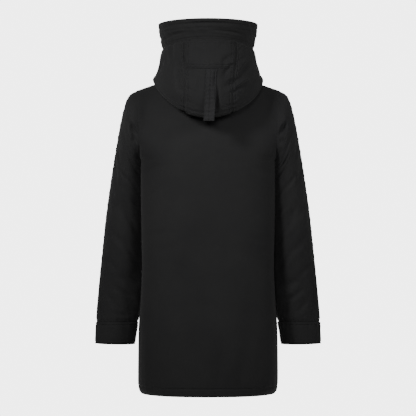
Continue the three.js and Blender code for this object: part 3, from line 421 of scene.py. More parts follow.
# %% Finer creases
CREASE_COLUMNS = FOLD_COLUMNS + " bow"
CREASES = {
    "back": table(
        CREASE_COLUMNS,
        (-150, -262, 62, 9, 24, -1.6, 8),
        (152, -268, 58, 9, 156, -1.5, -8),
        (-128, -318, 70, 12, 34, -1.2, 10),
        (126, -330, 74, 12, 148, -1.2, -12),
        (-30, -215, 80, 14, 8, -0.9, 6),
        (38, -232, 72, 13, 172, -0.9, -6),
        (-140, -430, 52, 9, 12, -1.3, 5),
        (138, -446, 56, 10, 168, -1.3, -6),
        (-96, -468, 64, 11, 22, -1.0, 8),
        (92, -484, 60, 11, 160, -1.0, -7),
        (8, -560, 90, 16, 86, -1.1, 10),
        (-84, -772, 95, 14, 98, -1.7, -9),
        (96, -790, 88, 13, 82, -1.7, 8),
        (150, -760, 90, 13, 86, -1.5, 6),
        (-150, -744, 96, 13, 95, -1.5, -6),
        (60, -822, 50, 9, 78, -1.3, 4),
        (-34, -818, 52, 10, 99, -1.2, 5),
    ),
    "front": table(
        CREASE_COLUMNS,
        (-146, -262, 60, 9, 28, -1.6, 8),
        (148, -258, 62, 9, 152, -1.6, -8),
        (-110, -330, 76, 12, 38, -1.2, 9),
        (112, -322, 70, 12, 142, -1.3, -9),
        (-40, -250, 70, 12, 66, -1.1, 8),
        (36, -262, 66, 12, 112, -1.1, -8),
        (-132, -448, 58, 10, 14, -1.3, 6),
        (134, -438, 54, 10, 166, -1.3, -6),
        (-44, -590, 90, 14, 82, -1.1, 9),
        (48, -610, 94, 14, 98, -1.1, -9),
        (-140, -770, 90, 13, 94, -1.6, -7),
        (142, -780, 86, 13, 86, -1.6, 7),
        (-48, -800, 66, 11, 96, -1.3, 5),
        (56, -806, 60, 11, 84, -1.3, -5),
    ),
    "left": table(
        CREASE_COLUMNS,
        (95, 24, 40, 6.5, 130, -8, 2),
        (112, 40, 40, 7, 108, -5.5, 4),
        (146, 84, 44, 7, 112, -5, 6),
        (152, 128, 40, 6, 30, -5, 6),
        (66, 44, 36, 7, 76, -3, 5),
        (120, 160, 46, 7, 34, -4, 8),
        (56, 186, 36, 6, 52, -3.5, 4),
        (44, 214, 40, 6, 56, -4, 5),
        (146, 186, 40, 6, 26, -5, 6),
        (92, 226, 44, 7, 30, -3.5, 8),
        (138, 244, 46, 7, 40, -4.5, 8),
        (150, 300, 42, 7, 24, -4.5, 6),
        (66, 306, 42, 8, 48, -3, 6),
        (128, 344, 48, 8, 40, -4, 8),
        (148, 372, 40, 7, 30, -4, 6),
        (84, 388, 46, 9, 34, -3, 7),
        (126, 420, 46, 8, 48, -4.5, 8),
        (66, 452, 46, 9, 40, -3, 7),
        (146, 500, 44, 7, 36, -4.5, 6),
        (110, 536, 46, 8, 30, -4, 8),
        (84, 572, 46, 8, 56, -3.5, 6),
        (144, 598, 36, 7, 24, -3.5, 5),
        (112, 612, 34, 7, 14, -3, 4),
        (250, 88, 50, 9, 150, -3.0, -8),
        (224, 190, 48, 9, 160, -3.0, -7),
        (296, 214, 54, 10, 148, -3.2, -9),
        (232, 330, 50, 9, 154, -3.2, -8),
        (298, 344, 54, 10, 150, -3.0, -9),
        (230, 470, 48, 9, 144, -3.2, -7),
        (286, 500, 54, 10, 140, -3.2, -9),
        (252, 588, 44, 9, 156, -2.6, -6),
    ),
    "right": table(
        CREASE_COLUMNS,
        (94, 26, 38, 6.5, 128, -8, 2),
        (114, 44, 38, 7, 106, -5.5, 4),
        (148, 92, 42, 7, 110, -5, 6),
        (150, 140, 42, 6, 26, -5, 6),
        (62, 52, 38, 7, 74, -3, 5),
        (116, 150, 44, 7, 30, -4, 8),
        (58, 172, 38, 6, 56, -3.5, 4),
        (42, 226, 42, 6, 60, -4, 5),
        (144, 200, 42, 6, 30, -5, 7),
        (96, 240, 46, 7, 34, -3.5, 8),
        (140, 262, 44, 7, 36, -4.5, 8),
        (148, 316, 42, 7, 28, -4.5, 6),
        (62, 322, 44, 8, 44, -3, 6),
        (126, 362, 50, 8, 36, -4, 8),
        (150, 396, 40, 7, 26, -4, 6),
        (80, 402, 48, 9, 38, -3, 7),
        (128, 440, 46, 8, 44, -4.5, 8),
        (68, 470, 48, 9, 36, -3, 7),
        (148, 514, 42, 7, 32, -4.5, 6),
        (106, 548, 48, 8, 34, -4, 8),
        (86, 586, 44, 8, 52, -3.5, 6),
        (142, 606, 34, 7, 28, -3.5, 5),
        (252, 96, 50, 9, 152, -3.0, -8),
        (226, 206, 48, 9, 156, -3.0, -7),
        (294, 200, 52, 10, 150, -3.2, -9),
        (230, 346, 50, 9, 150, -3.2, -8),
        (296, 356, 56, 10, 152, -3.0, -9),
        (228, 486, 50, 9, 148, -3.2, -7),
        (288, 514, 52, 10, 138, -3.2, -9),
        (250, 594, 44, 9, 152, -2.6, -6),
    ),
    "hood": table(
        CREASE_COLUMNS,
        (92, 210, 40, 6, 18, -6.3, 5),
        (60, 260, 36, 6, 58, -5.0, 12),
        (54, 292, 30, 6, 30, -3.8, 9),
        (112, 262, 46, 8, 44, -5.0, 10),
        (-70, 226, 42, 8, 96, -3.8, 5),
        (-88, 264, 50, 9, 84, -4.6, -8),
        (-60, 306, 30, 6, 120, -3.1, 5),
        (-104, 322, 44, 8, 104, -3.8, 7),
        (-150, 262, 54, 10, 82, -3.6, 9),
        (150, 306, 52, 9, 100, -3.6, -8),
        (22, 244, 34, 7, 88, -2.9, 4),
        (-24, 236, 38, 7, 94, -3.1, -4),
        (-20, 330, 36, 8, 160, -1.7, 4),
        (30, 322, 38, 8, 20, -2.0, 5),
        (250, 250, 60, 11, 92, -4.5, 8),
        (-250, 250, 60, 11, 88, -4.5, -8),
        (330, 270, 54, 10, 80, -3.6, 6),
        (-330, 270, 54, 10, 100, -3.6, -6),
        (-110, 392, 70, 9, 6, -3.8, 4),
        (64, 398, 76, 9, 176, -3.8, -4),
        (180, 402, 70, 9, 4, -2.7, 4),
        (-226, 404, 70, 9, 174, -2.7, -4),
        (0, 446, 90, 9, 2, -2.5, 3),
        (-150, 450, 70, 8, 178, -2.0, 3),
        (150, 448, 74, 8, 3, -2.0, 3),
        (0, 149, 210, 3.2, 0, -4.2, 0),
        (0, 118, 240, 3.4, 0, -5.5, 11),
        (20, 178, 56, 4.2, 86, -10, 0),
    ),
}
SLEEVE_ROUND, SLEEVE_LENGTH = 1.05, 640
HOOD_ROUND, HOOD_LENGTH = 2.3, 480
LIP_SHARE, LIP_AT, LIP_WIDTH = 0.4, 1.7, 0.9


def push_of(rows, x, y):
    """How far a table of folds moves the cloth. A fine crease has a raised lip on one side."""
    push = np.zeros(np.broadcast(x, y).shape)
    for i in range(len(rows["x"])):
        lean = np.radians(rows["lean"][i])
        dx = x - rows["x"][i]
        dy = y - rows["y"][i]
        along = (dx * np.cos(lean) + dy * np.sin(lean)) / rows["length"][i]
        beside = (dy * np.cos(lean) - dx * np.sin(lean)) / rows["width"][i]
        profile = np.exp(-beside ** 2)
        if "bow" in rows:
            beside = beside - rows["bow"][i] / rows["width"][i] * (1 - along ** 2)
            profile = np.exp(-beside ** 2) - LIP_SHARE * np.exp(-((beside - LIP_AT) / LIP_WIDTH) ** 2)
        push += rows["depth"][i] * np.clip(1 - along ** 2, 0, 1) ** 2 * profile
    return push


print("folds", sum(len(rows["x"]) for rows in FOLDS.values()),
      "finer creases", sum(len(rows["x"]) for rows in CREASES.values()))


# %% Curves
def column(rows, key, at, name):
    """Smooth values of one column of a table, whose rows are sorted by their key"""
    at = np.asarray(at, float)
    keys, values = rows[key], rows[name]
    last = len(keys) - 1
    before = np.maximum(np.arange(last + 1) - 1, 0)
    after = np.minimum(np.arange(last + 1) + 1, last)
    slopes = (values[after] - values[before]) / (keys[after] - keys[before])
    i = np.searchsorted(keys[1:-1], at, side="left")
    span = keys[i + 1] - keys[i]
    t = np.clip((at - keys[i]) / span, 0, 1)
    rise = slopes[i] * span * (t ** 3 - 2 * t ** 2 + t) + slopes[i + 1] * span * (t ** 3 - t ** 2)
    return values[i] * (2 * t ** 3 - 3 * t ** 2 + 1) + values[i + 1] * (3 * t ** 2 - 2 * t ** 3) + rise


def points(x, y, z):
    """Grids of x, y and z as one grid of points"""
    return np.stack(np.broadcast_arrays(x, y, z), axis=-1).astype(float)


def mix(a, b, share):
    """From a to b by a share, for numbers or grids of points"""
    return a + (b - a) * share


def ramp(value):
    """A share that is held between 0 and 1"""
    return np.clip(value, 0, 1)


def sine(turn):
    return np.sin(np.radians(turn))


def cosine(turn):
    return np.cos(np.radians(turn))


print("half width at the underarm", column(BODY_SECTIONS, "z", UNDERARM_Z, "half_width"), "mm")


# %% Body
# Shares of the body over which folds fade out towards the neck and the side seams. Fine
# creases run closer to the side seams.
TOP_FADE = 0.2
FOLD_SIDE_FADE, CREASE_SIDE_FADE = 0.15, 0.04


def neck_curve(turn):
    """Neck seam: turn 0 is the centre back, 90 the shoulder seam, 180 the centre front"""
    deep = cosine(turn)
    reach = np.where(deep > 0, NECK["back_y"] - NECK["side_y"], NECK["side_y"] - NECK["front_y"])
    back_drop = NECK["back_z"] * np.maximum(deep, 0) ** 2
    front_drop = NECK["front_z"] * np.maximum(-deep, 0) ** NECK_FRONT_CURVE
    return points(NECK["half_width"] * sine(turn), NECK["side_y"] + reach * deep, back_drop + front_drop)


def section_point(face, across, z):
    """Half of a body section, from the centre to the side seam"""
    power = 2 / BODY_ROUNDNESS
    depth = column(BODY_SECTIONS, "z", z, face) * (-1 if face == "back" else 1)
    wide = column(BODY_SECTIONS, "z", z, "half_width")
    return points(wide * ramp(sine(90 * across)) ** power, depth * ramp(cosine(90 * across)) ** power, z)


def yoke_point(face, across, up):
    """A curve from the underarm level up to the neck seam or shoulder seam"""
    def handle(end):
        return points(*[column(YOKES[face], "across", across, f"{end}_{axis}") for axis in "xyz"])

    share = NECK_SHARE[face]
    turn = 90 * np.minimum(across / share, 1)
    at_neck = neck_curve(turn if face == "back" else 180 - turn)
    beyond = ramp((across - share) / (1 - share))[..., None]
    at_shoulder = mix(neck_curve(np.full_like(across, 90.0)), SHOULDER_TIP, beyond)
    top = np.where((across <= share)[..., None], at_neck, at_shoulder)
    low = section_point(face, across, np.full_like(across, UNDERARM_Z))
    t, s = up[..., None], 1 - up[..., None]
    return low * s ** 3 + handle("low") * 3 * s ** 2 * t + handle("high") * 3 * s * t ** 2 + top * t ** 3


def body_surface(face):
    """turn runs from -90 to 90, up from -1 at the hem through 0 at the underarm to 1"""
    def surface(turn, up):
        across = np.minimum(np.abs(turn) / 90, 1)
        lower = section_point(face, across, UNDERARM_Z + np.clip(up, -1, 0) * (UNDERARM_Z - HEM_Z))
        upper = yoke_point(face, across, ramp(up))
        place = np.where((up <= 0)[..., None], lower, upper)
        place[..., 0] *= np.where(turn < 0, -1, 1)
        top = ramp((1 - up) / TOP_FADE)
        fold = push_of(FOLDS[face], place[..., 0], place[..., 2])
        push = fold * (top * ramp((1 - across) / FOLD_SIDE_FADE))
        fine = push_of(CREASES[face], place[..., 0], place[..., 2])
        push += fine * (top * ramp((1 - across) / CREASE_SIDE_FADE))
        place[..., 1] += push * (-1 if face == "back" else 1)
        return place
    return surface


print("half width at the hem", section_point("back", np.array([1.0]), HEM_Z)[0, 0].round(1), "mm")


# %% Sleeves
# The sleeve's edge is tucked under the body's, and below the armhole the sleeve leans on the
# rounded side of the body, a little behind and before it. Places along the sleeve are shares of
# its length.
ARMHOLE_TUCK = -1.8
ARMHOLE_FADE = 0.2
LEAN_IN, LEAN_TURN, LEAN_WIDTH = 8, 34, 15
LEAN_FROM, LEAN_TO, LEAN_FADE = 0.06, 0.62, 0.2
FOLDS_FROM, CREASE_FADE = 0.08, 0.03
FOLD_OUTWARD, CREASE_OUTWARD = 0.5, 0.6


def armhole_point(turn):
    """Edge of the right armhole: 0 at the shoulder tip, 90 at the back, 180 underarm"""
    around = turn % 360
    one = np.ones_like(around)
    back = yoke_point("back", one, ramp(1 - around / 180))
    front = yoke_point("front", one, ramp(around / 180 - 1))
    return np.where((around <= 180)[..., None], back, front)


def sleeve_ring(turn, along):
    """The right sleeve without folds: turn as on the armhole, along from there to the cuff edge"""
    value = {name: column(SLEEVE_RINGS, "at", along, name) for name in SLEEVE_RINGS}
    share = 0.5 - 0.5 * cosine(turn)
    return points(mix(value["outer_x"], value["inner_x"], share),
                  value["mid_y"] - value["half_depth"] * sine(turn),
                  mix(value["outer_z"], value["inner_z"], share))


def sleeve_surface(side):
    """turn and along as in the ring, with the folds and creases of one side"""
    def surface(turn, along):
        at = np.clip(along, 0, CUFF_EDGE_AT)
        place = sleeve_ring(turn, at)
        fade = ramp(1 - at / ARMHOLE_FADE) ** 2
        place += (armhole_point(turn) - sleeve_ring(turn, np.zeros_like(at))) * fade[..., None]
        place[..., 0] += ARMHOLE_TUCK * fade
        from_inside = np.abs(turn % 360 - 180)
        lean = np.exp(-((from_inside - LEAN_TURN) / LEAN_WIDTH) ** 2)
        place[..., 0] -= LEAN_IN * lean * ramp(at / LEAN_FROM) * ramp((LEAN_TO - at) / LEAN_FADE)
        around, down = (turn % 360) * SLEEVE_ROUND, at * SLEEVE_LENGTH
        held = ramp(at / CREASE_FADE) * ramp((CUFF_AT - at) / CREASE_FADE)
        fold = push_of(FOLDS[side], around, down) * ramp(at / FOLDS_FROM)
        fine = push_of(CREASES[side], around, down) * held
        outside = np.maximum(cosine(turn), 0)
        place[..., 1] -= sine(turn) * (fold + fine)
        place[..., 0] += FOLD_OUTWARD * outside * fold
        place[..., 0] += CREASE_OUTWARD * outside * fine
        place[..., 0] *= -1 if side == "left" else 1
        return place
    return surface


def seam_turn(along):
    """Turn of the outer sleeve seam, which comes round to the back at the wrist"""
    return column(SEAM_TURN, "at", np.clip(along, 0, CUFF_EDGE_AT), "turn")


print("underarm", armhole_point(np.array([180.0]))[0].round(1), "mm")


# %% Hood
NECK_RISE = 3
HOOD_FOLDS_FROM = 0.3


def hood_ring(turn, along):
    """The hood without folds, above where it blends into the neck seam"""
    value = {name: column(HOOD_RINGS, "at", along, name) for name in HOOD_RINGS}
    deep = cosine(turn)
    left, right = [column(HOOD_HANG, "at", along, side) for side in ("left", "right")]
    hang = np.where(turn < 0, left, right)
    reach = np.where(deep > 0, -value["back"] - value["mid_y"], value["mid_y"] - value["front"])
    drop = np.where(deep > 0,
                    (value["back_z"] - value["side_z"]) * np.maximum(deep, 0) ** hang,
                    (value["front_z"] - value["side_z"]) * np.maximum(-deep, 0) ** FRONT_HANG)
    return points(value["half_width"] * sine(turn), value["mid_y"] + reach * deep, value["side_z"] + drop)


def hood_surface(turn, along):
    """turn 0 is the centre back and 180 the zip, along from the neck seam to the rim"""
    at = ramp(along)
    low = mix(neck_curve(turn) + np.array((0, 0, SEAM_GAP)),
              hood_ring(turn, np.full_like(at, NECK_BLEND_AT)), (at / NECK_BLEND_AT)[..., None])
    place = np.where((at < NECK_BLEND_AT)[..., None], low, hood_ring(turn, at))
    place[..., 2] += NECK_RISE * np.sin(np.pi * ramp(at / NECK_BLEND_AT))
    around, down = turn * HOOD_ROUND, at * HOOD_LENGTH
    push = push_of(FOLDS["hood"], around, down) + push_of(CREASES["hood"], around, down)
    push *= ramp(at / HOOD_FOLDS_FROM)
    place[..., 0] += sine(turn) * push
    place[..., 1] -= cosine(turn) * push
    return place


print("centre back of the neck", neck_curve(np.array(0.0)), "shoulder tip", SHOULDER_TIP)


# %% Surfaces that lie on others
# Steps in turn and along, over which the direction of a surface is measured
TURN_STEP, ALONG_STEP = 0.4, 0.002


def outward(surface, facing, turn, along):
    """Direction in which a surface faces"""
    around = surface(turn + TURN_STEP, along) - surface(turn - TURN_STEP, along)
    upward = surface(turn, along + ALONG_STEP) - surface(turn, along - ALONG_STEP)
    normal = np.cross(around, upward)
    return facing * normal / np.linalg.norm(normal, axis=-1, keepdims=True)


def moved_out(surface, facing, distance):
    """A surface for what lies on another one"""
    return lambda turn, along: surface(turn, along) + outward(surface, facing, turn, along) * distance


hood_back = outward(hood_surface, 1, np.array([0.0]), np.array([1.0]))
print("the rim's centre back faces", hood_back[0].round(2))

# %% [markdown]
# ## Sewing a panel
# A sheet with Solidify would have sharp, square edges, and cloth has none. Here each panel is
# an outer grid, an inner grid one wall behind it, and a rounded strip between them. Near a
# seam the cloth sinks, because the seam pulls it in, and a row of topstitching presses a
# shallow groove with small uneven puckers. Grid lines are placed closer together there.

# %% Grid lines
# Lines are this far, in millimetres, from each end of a panel and on both sides of a row of
# stitches, and no closer to each other than the last value
END_LINES = np.array((0, 0.8, 1.8, 3, 4.4, 6, 7.6, 9.4, 12))
STITCH_LINES = (-3, -1.5, -0.6, 0, 0.6, 1.5, 3)
CLOSEST = 0.45


def grid_lines(length, step, close_at=()):
    """Shares of a length, closer together at its ends and round each row of stitches"""
    ends = np.concatenate((END_LINES, length - END_LINES))
    inside = np.linspace(0, length, max(int(length / step), 2) + 1)
    rows = [at + offset for at in close_at for offset in STITCH_LINES]
    lines = np.unique(np.round(np.concatenate((ends, inside, rows)), 3))
    lines = lines[(lines >= 0) & (lines <= length)]
    keep = np.concatenate(([True], np.diff(lines) > CLOSEST))
    keep[-1] = True
    lines = lines[keep]
    if length - lines[-2] < CLOSEST:
        lines = np.delete(lines, -2)
    return lines / length


def spread_between(low, high, shares):
    """A grid of turns, from low to high in each row"""
    return low[:, None] + (high - low)[:, None] * shares[None, :]


def grid_on(surface, low, high, shares, along):
    """A surface's points on such a grid, with a row for each place along it"""
    turns = spread_between(low, high, shares)
    return surface(turns, np.broadcast_to(along[:, None], turns.shape))


def measured(grid, axis):
    """Distance along a grid of points from its first line, in millimetres"""
    steps = np.linalg.norm(np.diff(grid, axis=axis), axis=-1)
    start = np.zeros_like(np.take(steps, [0], axis=axis))
    return np.concatenate((start, np.cumsum(steps, axis=axis)), axis=axis)


print("lines on 100 mm with a row of stitches at 9 mm", len(grid_lines(100, 5, close_at=(9,))))

# %% Seams, grooves and puckers
# Depths and reaches are in millimetres
SEAM_SINK, SEAM_SOFT = 2.3, 2.9
FLAT_SEAM = 0.4
STITCH_SINK, STITCH_SOFT = 1.4, 1.6
PUCKER, PUCKER_REACH = 1.3, 15
PUCKER_WAVES, WHOLE_WAVE = (11, 17, 31), 6.28
HELD_REACH = 4
SEED = 7
# Keeps a division from failing where two points are the same
TINY = 1e-9
rng = np.random.default_rng(SEED)


def seam_relief(grid, sunk, stitched):
    """How far seams and rows of stitches draw the cloth in. sunk gives edges and the depth
    of their seam, stitched lists an edge and a distance from it."""
    across, along = measured(grid, 1), measured(grid, 0)
    away = {
        "first": across, "last": across[:, -1:] - across,
        "start": along, "end": along[-1:, :] - along,
    }
    beside = {"first": along, "last": along, "start": across, "end": across}
    relief = np.zeros(across.shape)
    for edge, depth in sunk:
        relief = np.minimum(relief, -depth * np.exp(-(away[edge] / SEAM_SOFT) ** 2))
    free = {edge: 1 - np.exp(-(away[edge] / HELD_REACH) ** 2) for edge in away}
    for edge, distance in stitched:
        gap = away[edge] - distance
        groove = -STITCH_SINK * np.exp(-(gap / STITCH_SOFT) ** 2)
        waves = sum(np.sin(2 * np.pi * beside[edge] / length + rng.uniform(0, WHOLE_WAVE))
                    for length in PUCKER_WAVES)
        puckers = PUCKER / len(PUCKER_WAVES) * waves * np.exp(-np.abs(gap) / PUCKER_REACH) * free[edge]
        crossed = [free[other] for other, _ in sunk if other != edge]
        relief += (groove + puckers) * np.prod(crossed, axis=0)
    return relief


def grid_normals(grid, facing, closed):
    """Direction in which each point of a grid faces"""
    around = np.gradient(grid, axis=1)
    if closed:
        around = np.roll(grid, -1, axis=1) - np.roll(grid, 1, axis=1)
    normal = np.cross(around, np.gradient(grid, axis=0))
    return facing * normal / np.maximum(np.linalg.norm(normal, axis=-1, keepdims=True), TINY)


print("a seam draws the cloth in by", SEAM_SINK, "mm and a row of stitches by", STITCH_SINK, "mm")

# %% Rows of stitches on a panel
THREAD_RISE = 0.15
ROW_END, ROW_CLEAR = 1.5, 0.2
CROSSED_BY = {
    "first": ("start", "end"), "last": ("start", "end"),
    "start": ("first", "last"), "end": ("first", "last"),
}


def sewn_rows(grid, normals, stitched, closed):
    """The lines of a panel's rows of stitches, a hair above the cloth. A row stops where the
    same row of the next edge crosses it."""
    raised, lines = grid + normals * THREAD_RISE, []
    for edge, distance in stitched:
        upright = edge in ("first", "last")
        spread = measured(grid, 1) if upright else measured(grid, 0).T
        strips = raised if upright else raised.transpose(1, 0, 2)
        at = np.full(len(spread), distance) if edge in ("first", "start") else spread[:, -1] - distance
        line = np.array([[np.interp(a, s, strip[:, axis]) for axis in range(3)]
                         for a, s, strip in zip(at, spread, strips)])
        if closed:
            lines.append(np.concatenate((line, line[:1])))
            continue
        run = measured(line, 0)
        stops = [distance if (end, distance) in stitched else ROW_END for end in CROSSED_BY[edge]]
        inside = (run > stops[0] + ROW_CLEAR) & (run < run[-1] - stops[1] - ROW_CLEAR)
        run_at = np.concatenate(([stops[0]], run[inside], [run[-1] - stops[1]]))
        lines.append(np.stack([np.interp(run_at, run, line[:, axis]) for axis in range(3)], axis=-1))
    return lines


# %% Walls of cloth
EDGE_BULGE = 0.14


def edge_loops(rows, columns, closed):
    """Grid places in order round each free edge"""
    if closed:
        return [[(0, j) for j in range(columns)], [(rows - 1, j) for j in reversed(range(columns))]]
    first_row = [(0, j) for j in range(columns)]
    last_column = [(i, columns - 1) for i in range(1, rows)]
    last_row = [(rows - 1, j) for j in reversed(range(columns - 1))]
    first_column = [(i, 0) for i in reversed(range(1, rows - 1))]
    return [first_row + last_column + last_row + first_column]


def edge_direction(grid, i, j, closed):
    """Direction in which the cloth ends at a place on its free edge"""
    rows, columns = grid.shape[:2]
    step = np.zeros(3)
    if i in (0, rows - 1):
        step += grid[i, j] - grid[1 if i == 0 else rows - 2, j]
    if not closed and j in (0, columns - 1):
        step += grid[i, j] - grid[i, 1 if j == 0 else columns - 2]
    return step / max(np.linalg.norm(step), TINY)


def grid_faces(place, closed):
    """Squares between the places of a grid, seen from outside"""
    corners = np.concatenate((place, place[:, :1]), axis=1) if closed else place
    a, b = corners[:-1, :-1].ravel(), corners[:-1, 1:].ravel()
    c, d = corners[1:, 1:].ravel(), corners[1:, :-1].ravel()
    return np.stack((a, b, c, d), axis=1)


def wall_of(grid, inner, closed):
    """Points, faces and flat places in metres of a wall between an outer and an inner grid"""
    rows, columns = grid.shape[:2]
    count = rows * columns
    place = np.arange(count).reshape(rows, columns)
    outer_faces = grid_faces(place, closed)
    faces = [outer_faces, outer_faces[:, [0, 3, 2, 1]] + count]
    across, along = measured(grid, 1), measured(grid, 0)
    flat = np.stack((across - across[:, -1:] / 2, along), axis=-1).reshape(-1, 2) * MM
    outer_points, inner_points = grid.reshape(-1, 3), inner.reshape(-1, 3)
    verts, flats = [outer_points, inner_points], [flat, flat]
    total = 2 * count
    for loop in edge_loops(rows, columns, closed):
        at = np.array([place[i, j] for i, j in loop])
        away = np.array([edge_direction(grid, i, j, closed) for i, j in loop])
        verts.append((outer_points[at] + inner_points[at]) / 2 + away * EDGE_BULGE)
        flats.append(flat[at])
        mid = total + np.arange(len(at))
        total += len(at)
        after, mid_after = np.roll(at, -1), np.roll(mid, -1)
        faces.append(np.stack((at, mid, mid_after, after), axis=1))
        faces.append(np.stack((mid, at + count, after + count, mid_after), axis=1))
    return np.concatenate(verts), np.concatenate(faces), np.concatenate(flats)


print("points round the free edge of a 4 by 5 grid", len(edge_loops(4, 5, False)[0]))

# %% Panel maker
CUTS, SEWN_ROWS = {}, {}


def cut_of(grid, closed):
    """Width, length and area of a panel laid flat, in metres"""
    if closed:
        grid = np.concatenate((grid, grid[:, :1]), axis=1)
    wide = measured(grid, 1)[:, -1].max() * MM
    tall = measured(grid, 0)[-1].max() * MM
    a, b = grid[1:, 1:] - grid[:-1, :-1], grid[1:, :-1] - grid[:-1, 1:]
    area = np.linalg.norm(np.cross(a, b), axis=-1).sum() / 2 * MM * MM
    return round(float(wide), 4), round(float(tall), 4), round(float(area), 5)


def finish_mesh(mesh, finish):
    """Smooth shading and a material for a mesh that has its faces"""
    mesh.polygons.foreach_set("use_smooth", np.ones(len(mesh.polygons), bool))
    mesh.materials.append(finish)


def sew_panel(name, grid, facing, finish, sunk=(), stitched=(), wall=WALL, closed=False):
    """A closed wall of cloth over a grid of points, with its UV map in metres"""
    grid = grid + grid_normals(grid, facing, closed) * seam_relief(grid, sunk, stitched)[..., None]
    normals = grid_normals(grid, facing, closed)
    verts, faces, flats = wall_of(grid, grid - normals * wall, closed)
    if facing < 0:
        faces = faces[:, ::-1]
    mesh = bpy.data.meshes.new(name)
    mesh.from_pydata((verts * MM).tolist(), [], faces.tolist())
    uv = mesh.uv_layers.new(name="cloth")
    uv.data.foreach_set("uv", flats[faces.ravel()].astype(np.float32).ravel())
    finish_mesh(mesh, finish)
    mesh.update()
    SEWN_ROWS[name] = sewn_rows(grid, normals, stitched, closed)
    CUTS[name] = cut_of(grid, closed)
    print(name, len(mesh.polygons) * 2, "triangles, cut (width, length, area)", CUTS[name])
    return put_in_scene(name, mesh)


def dress(piece, node, body=GARMENT):
    """The piece stands for its node, whose solid it hides, and rides on a body"""
    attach(piece, body)
    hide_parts(node)


print("panel maker ready")

# %% [markdown]
# ## Back
# The back is one piece from hem to neck, with no seam across it. The hem is turned up 23 mm
# and held by one row of stitches, which shows as a faint line. The armhole seams draw it in.

# %% Back
# BACK_ROUND and the like are rough sizes of a panel in millimetres, which only space its grid
# lines
STEP = 5.0
BACK_ROUND = 470
YOKE_RISE = 270.0
BODY_RISE = UNDERARM_Z - HEM_Z
HEM_TURN_UP = 23
YOKE_FROM = 0.05
SIDE_SEAMS = (("first", FLAT_SEAM), ("last", FLAT_SEAM), ("end", FLAT_SEAM))


def body_rows():
    """Places from hem to neck, closer together at the hem stitches"""
    lower = grid_lines(BODY_RISE, STEP, close_at=(HEM_TURN_UP,))
    upper = grid_lines(YOKE_RISE, STEP)
    return np.concatenate((lower[lower < 1 - TINY] - 1, upper[(upper == 0) | (upper > YOKE_FROM)]))


ups = body_rows()
half_turn = np.full(len(ups), 90.0)
grid = grid_on(body_surface("back"), -half_turn, half_turn, grid_lines(BACK_ROUND, STEP), ups)
back_cloth = sew_panel("back_cloth", grid, 1, cotton_nylon, sunk=SIDE_SEAMS,
                       stitched=(("start", HEM_TURN_UP),))
dress(back_cloth, "back")

# %% [markdown]
# ## Fronts
# The photo shows none of the front, so it is plain: two pieces that meet at the zip, each
# stitched down 7 mm from the zip and turned up at the hem like the back.

# %% Fronts
SIDES = (("left", -1), ("right", 1))
FRONT_ROUND = 235
ZIP_STITCH = 7
WIDEST_TURN = 45
HALVINGS = 24


def turn_at(surface, x, along):
    """Turns at which a surface is x from the centre line, found by halving"""
    low, high = np.zeros_like(along), np.full_like(along, WIDEST_TURN)
    for _ in range(HALVINGS):
        middle = (low + high) / 2
        inside = np.abs(surface(middle, along)[..., 0]) < x
        low, high = np.where(inside, middle, low), np.where(inside, high, middle)
    return low


front_surface = body_surface("front")
front_edge = turn_at(front_surface, ZIP["cloth_edge"], ups)
front_shares = grid_lines(FRONT_ROUND, STEP, close_at=(ZIP_STITCH,))
for side, sign in SIDES:
    grid = grid_on(front_surface, sign * front_edge, sign * half_turn, front_shares, ups)
    front_cloth = sew_panel(f"front_{side}_cloth", grid, -sign, cotton_nylon, sunk=SIDE_SEAMS[1:],
                            stitched=(("start", HEM_TURN_UP), ("first", ZIP_STITCH)))
    dress(front_cloth, f"front_{side}")

# %% [markdown]
# ## Sleeves and cuffs
# Each sleeve is cut in two, so that it can bend forward like an arm. The outer seam starts at
# the shoulder and comes round to the back at the wrist. A deep cuff closes it with two rows
# of stitches.

# %% Sleeves
SLEEVE_STEP = 4.6
HALF_ROUND = 235
SLEEVE_STITCH = 5
SLEEVE_SEAM = 0.9
SLEEVE_SEAMS = (("first", SLEEVE_SEAM), ("last", SLEEVE_SEAM), ("start", FLAT_SEAM), ("end", SEAM_SINK))
sleeve_lines = grid_lines(SLEEVE_LENGTH, SLEEVE_STEP)
half_lines = grid_lines(HALF_ROUND, SLEEVE_STEP, close_at=(SLEEVE_STITCH,))
outer_seam = seam_turn(sleeve_lines)
under_seam = np.full_like(outer_seam, 180.0)
SLEEVE_HALVES = {
    "back": (outer_seam, under_seam, "first"),
    "front": (under_seam, 360 + outer_seam, "last"),
}
for side, facing in SIDES:
    for half, (low, high, outer_edge) in SLEEVE_HALVES.items():
        grid = grid_on(sleeve_surface(side), low, high, half_lines, sleeve_lines)
        sleeve_cloth = sew_panel(f"sleeve_{half}_{side}_cloth", grid, facing, cotton_nylon, sunk=SLEEVE_SEAMS,
                                 stitched=((outer_edge, SLEEVE_STITCH), ("end", SLEEVE_STITCH)))
        dress(sleeve_cloth, f"sleeve_{half}_{side}")

# %% Cuffs
FINE_STEP = 3
CUFF_HEIGHT, CUFF_WALL = 72, 2.2
CUFF_STITCHES, CUFF_EDGE_STITCH = (2.5, 9), 4
CUFF_TURN_STEP = 3.5
cuff_rows = [("start", d) for d in CUFF_STITCHES] + [("end", CUFF_EDGE_STITCH)]
cuff_lines = CUFF_AT + (CUFF_EDGE_AT - CUFF_AT) * grid_lines(CUFF_HEIGHT, FINE_STEP, close_at=CUFF_STITCHES)
cuff_turns = seam_turn(cuff_lines)[:, None] + np.arange(0, 360, CUFF_TURN_STEP)[None, :]
for side, facing in SIDES:
    grid = sleeve_surface(side)(cuff_turns, np.broadcast_to(cuff_lines[:, None], cuff_turns.shape))
    cuff_cloth = sew_panel(f"cuff_{side}_cloth", grid, facing, cotton_nylon, sunk=[("start", SEAM_SINK)],
                           stitched=cuff_rows, wall=CUFF_WALL, closed=True)
    dress(cuff_cloth, f"cuff_{side}")

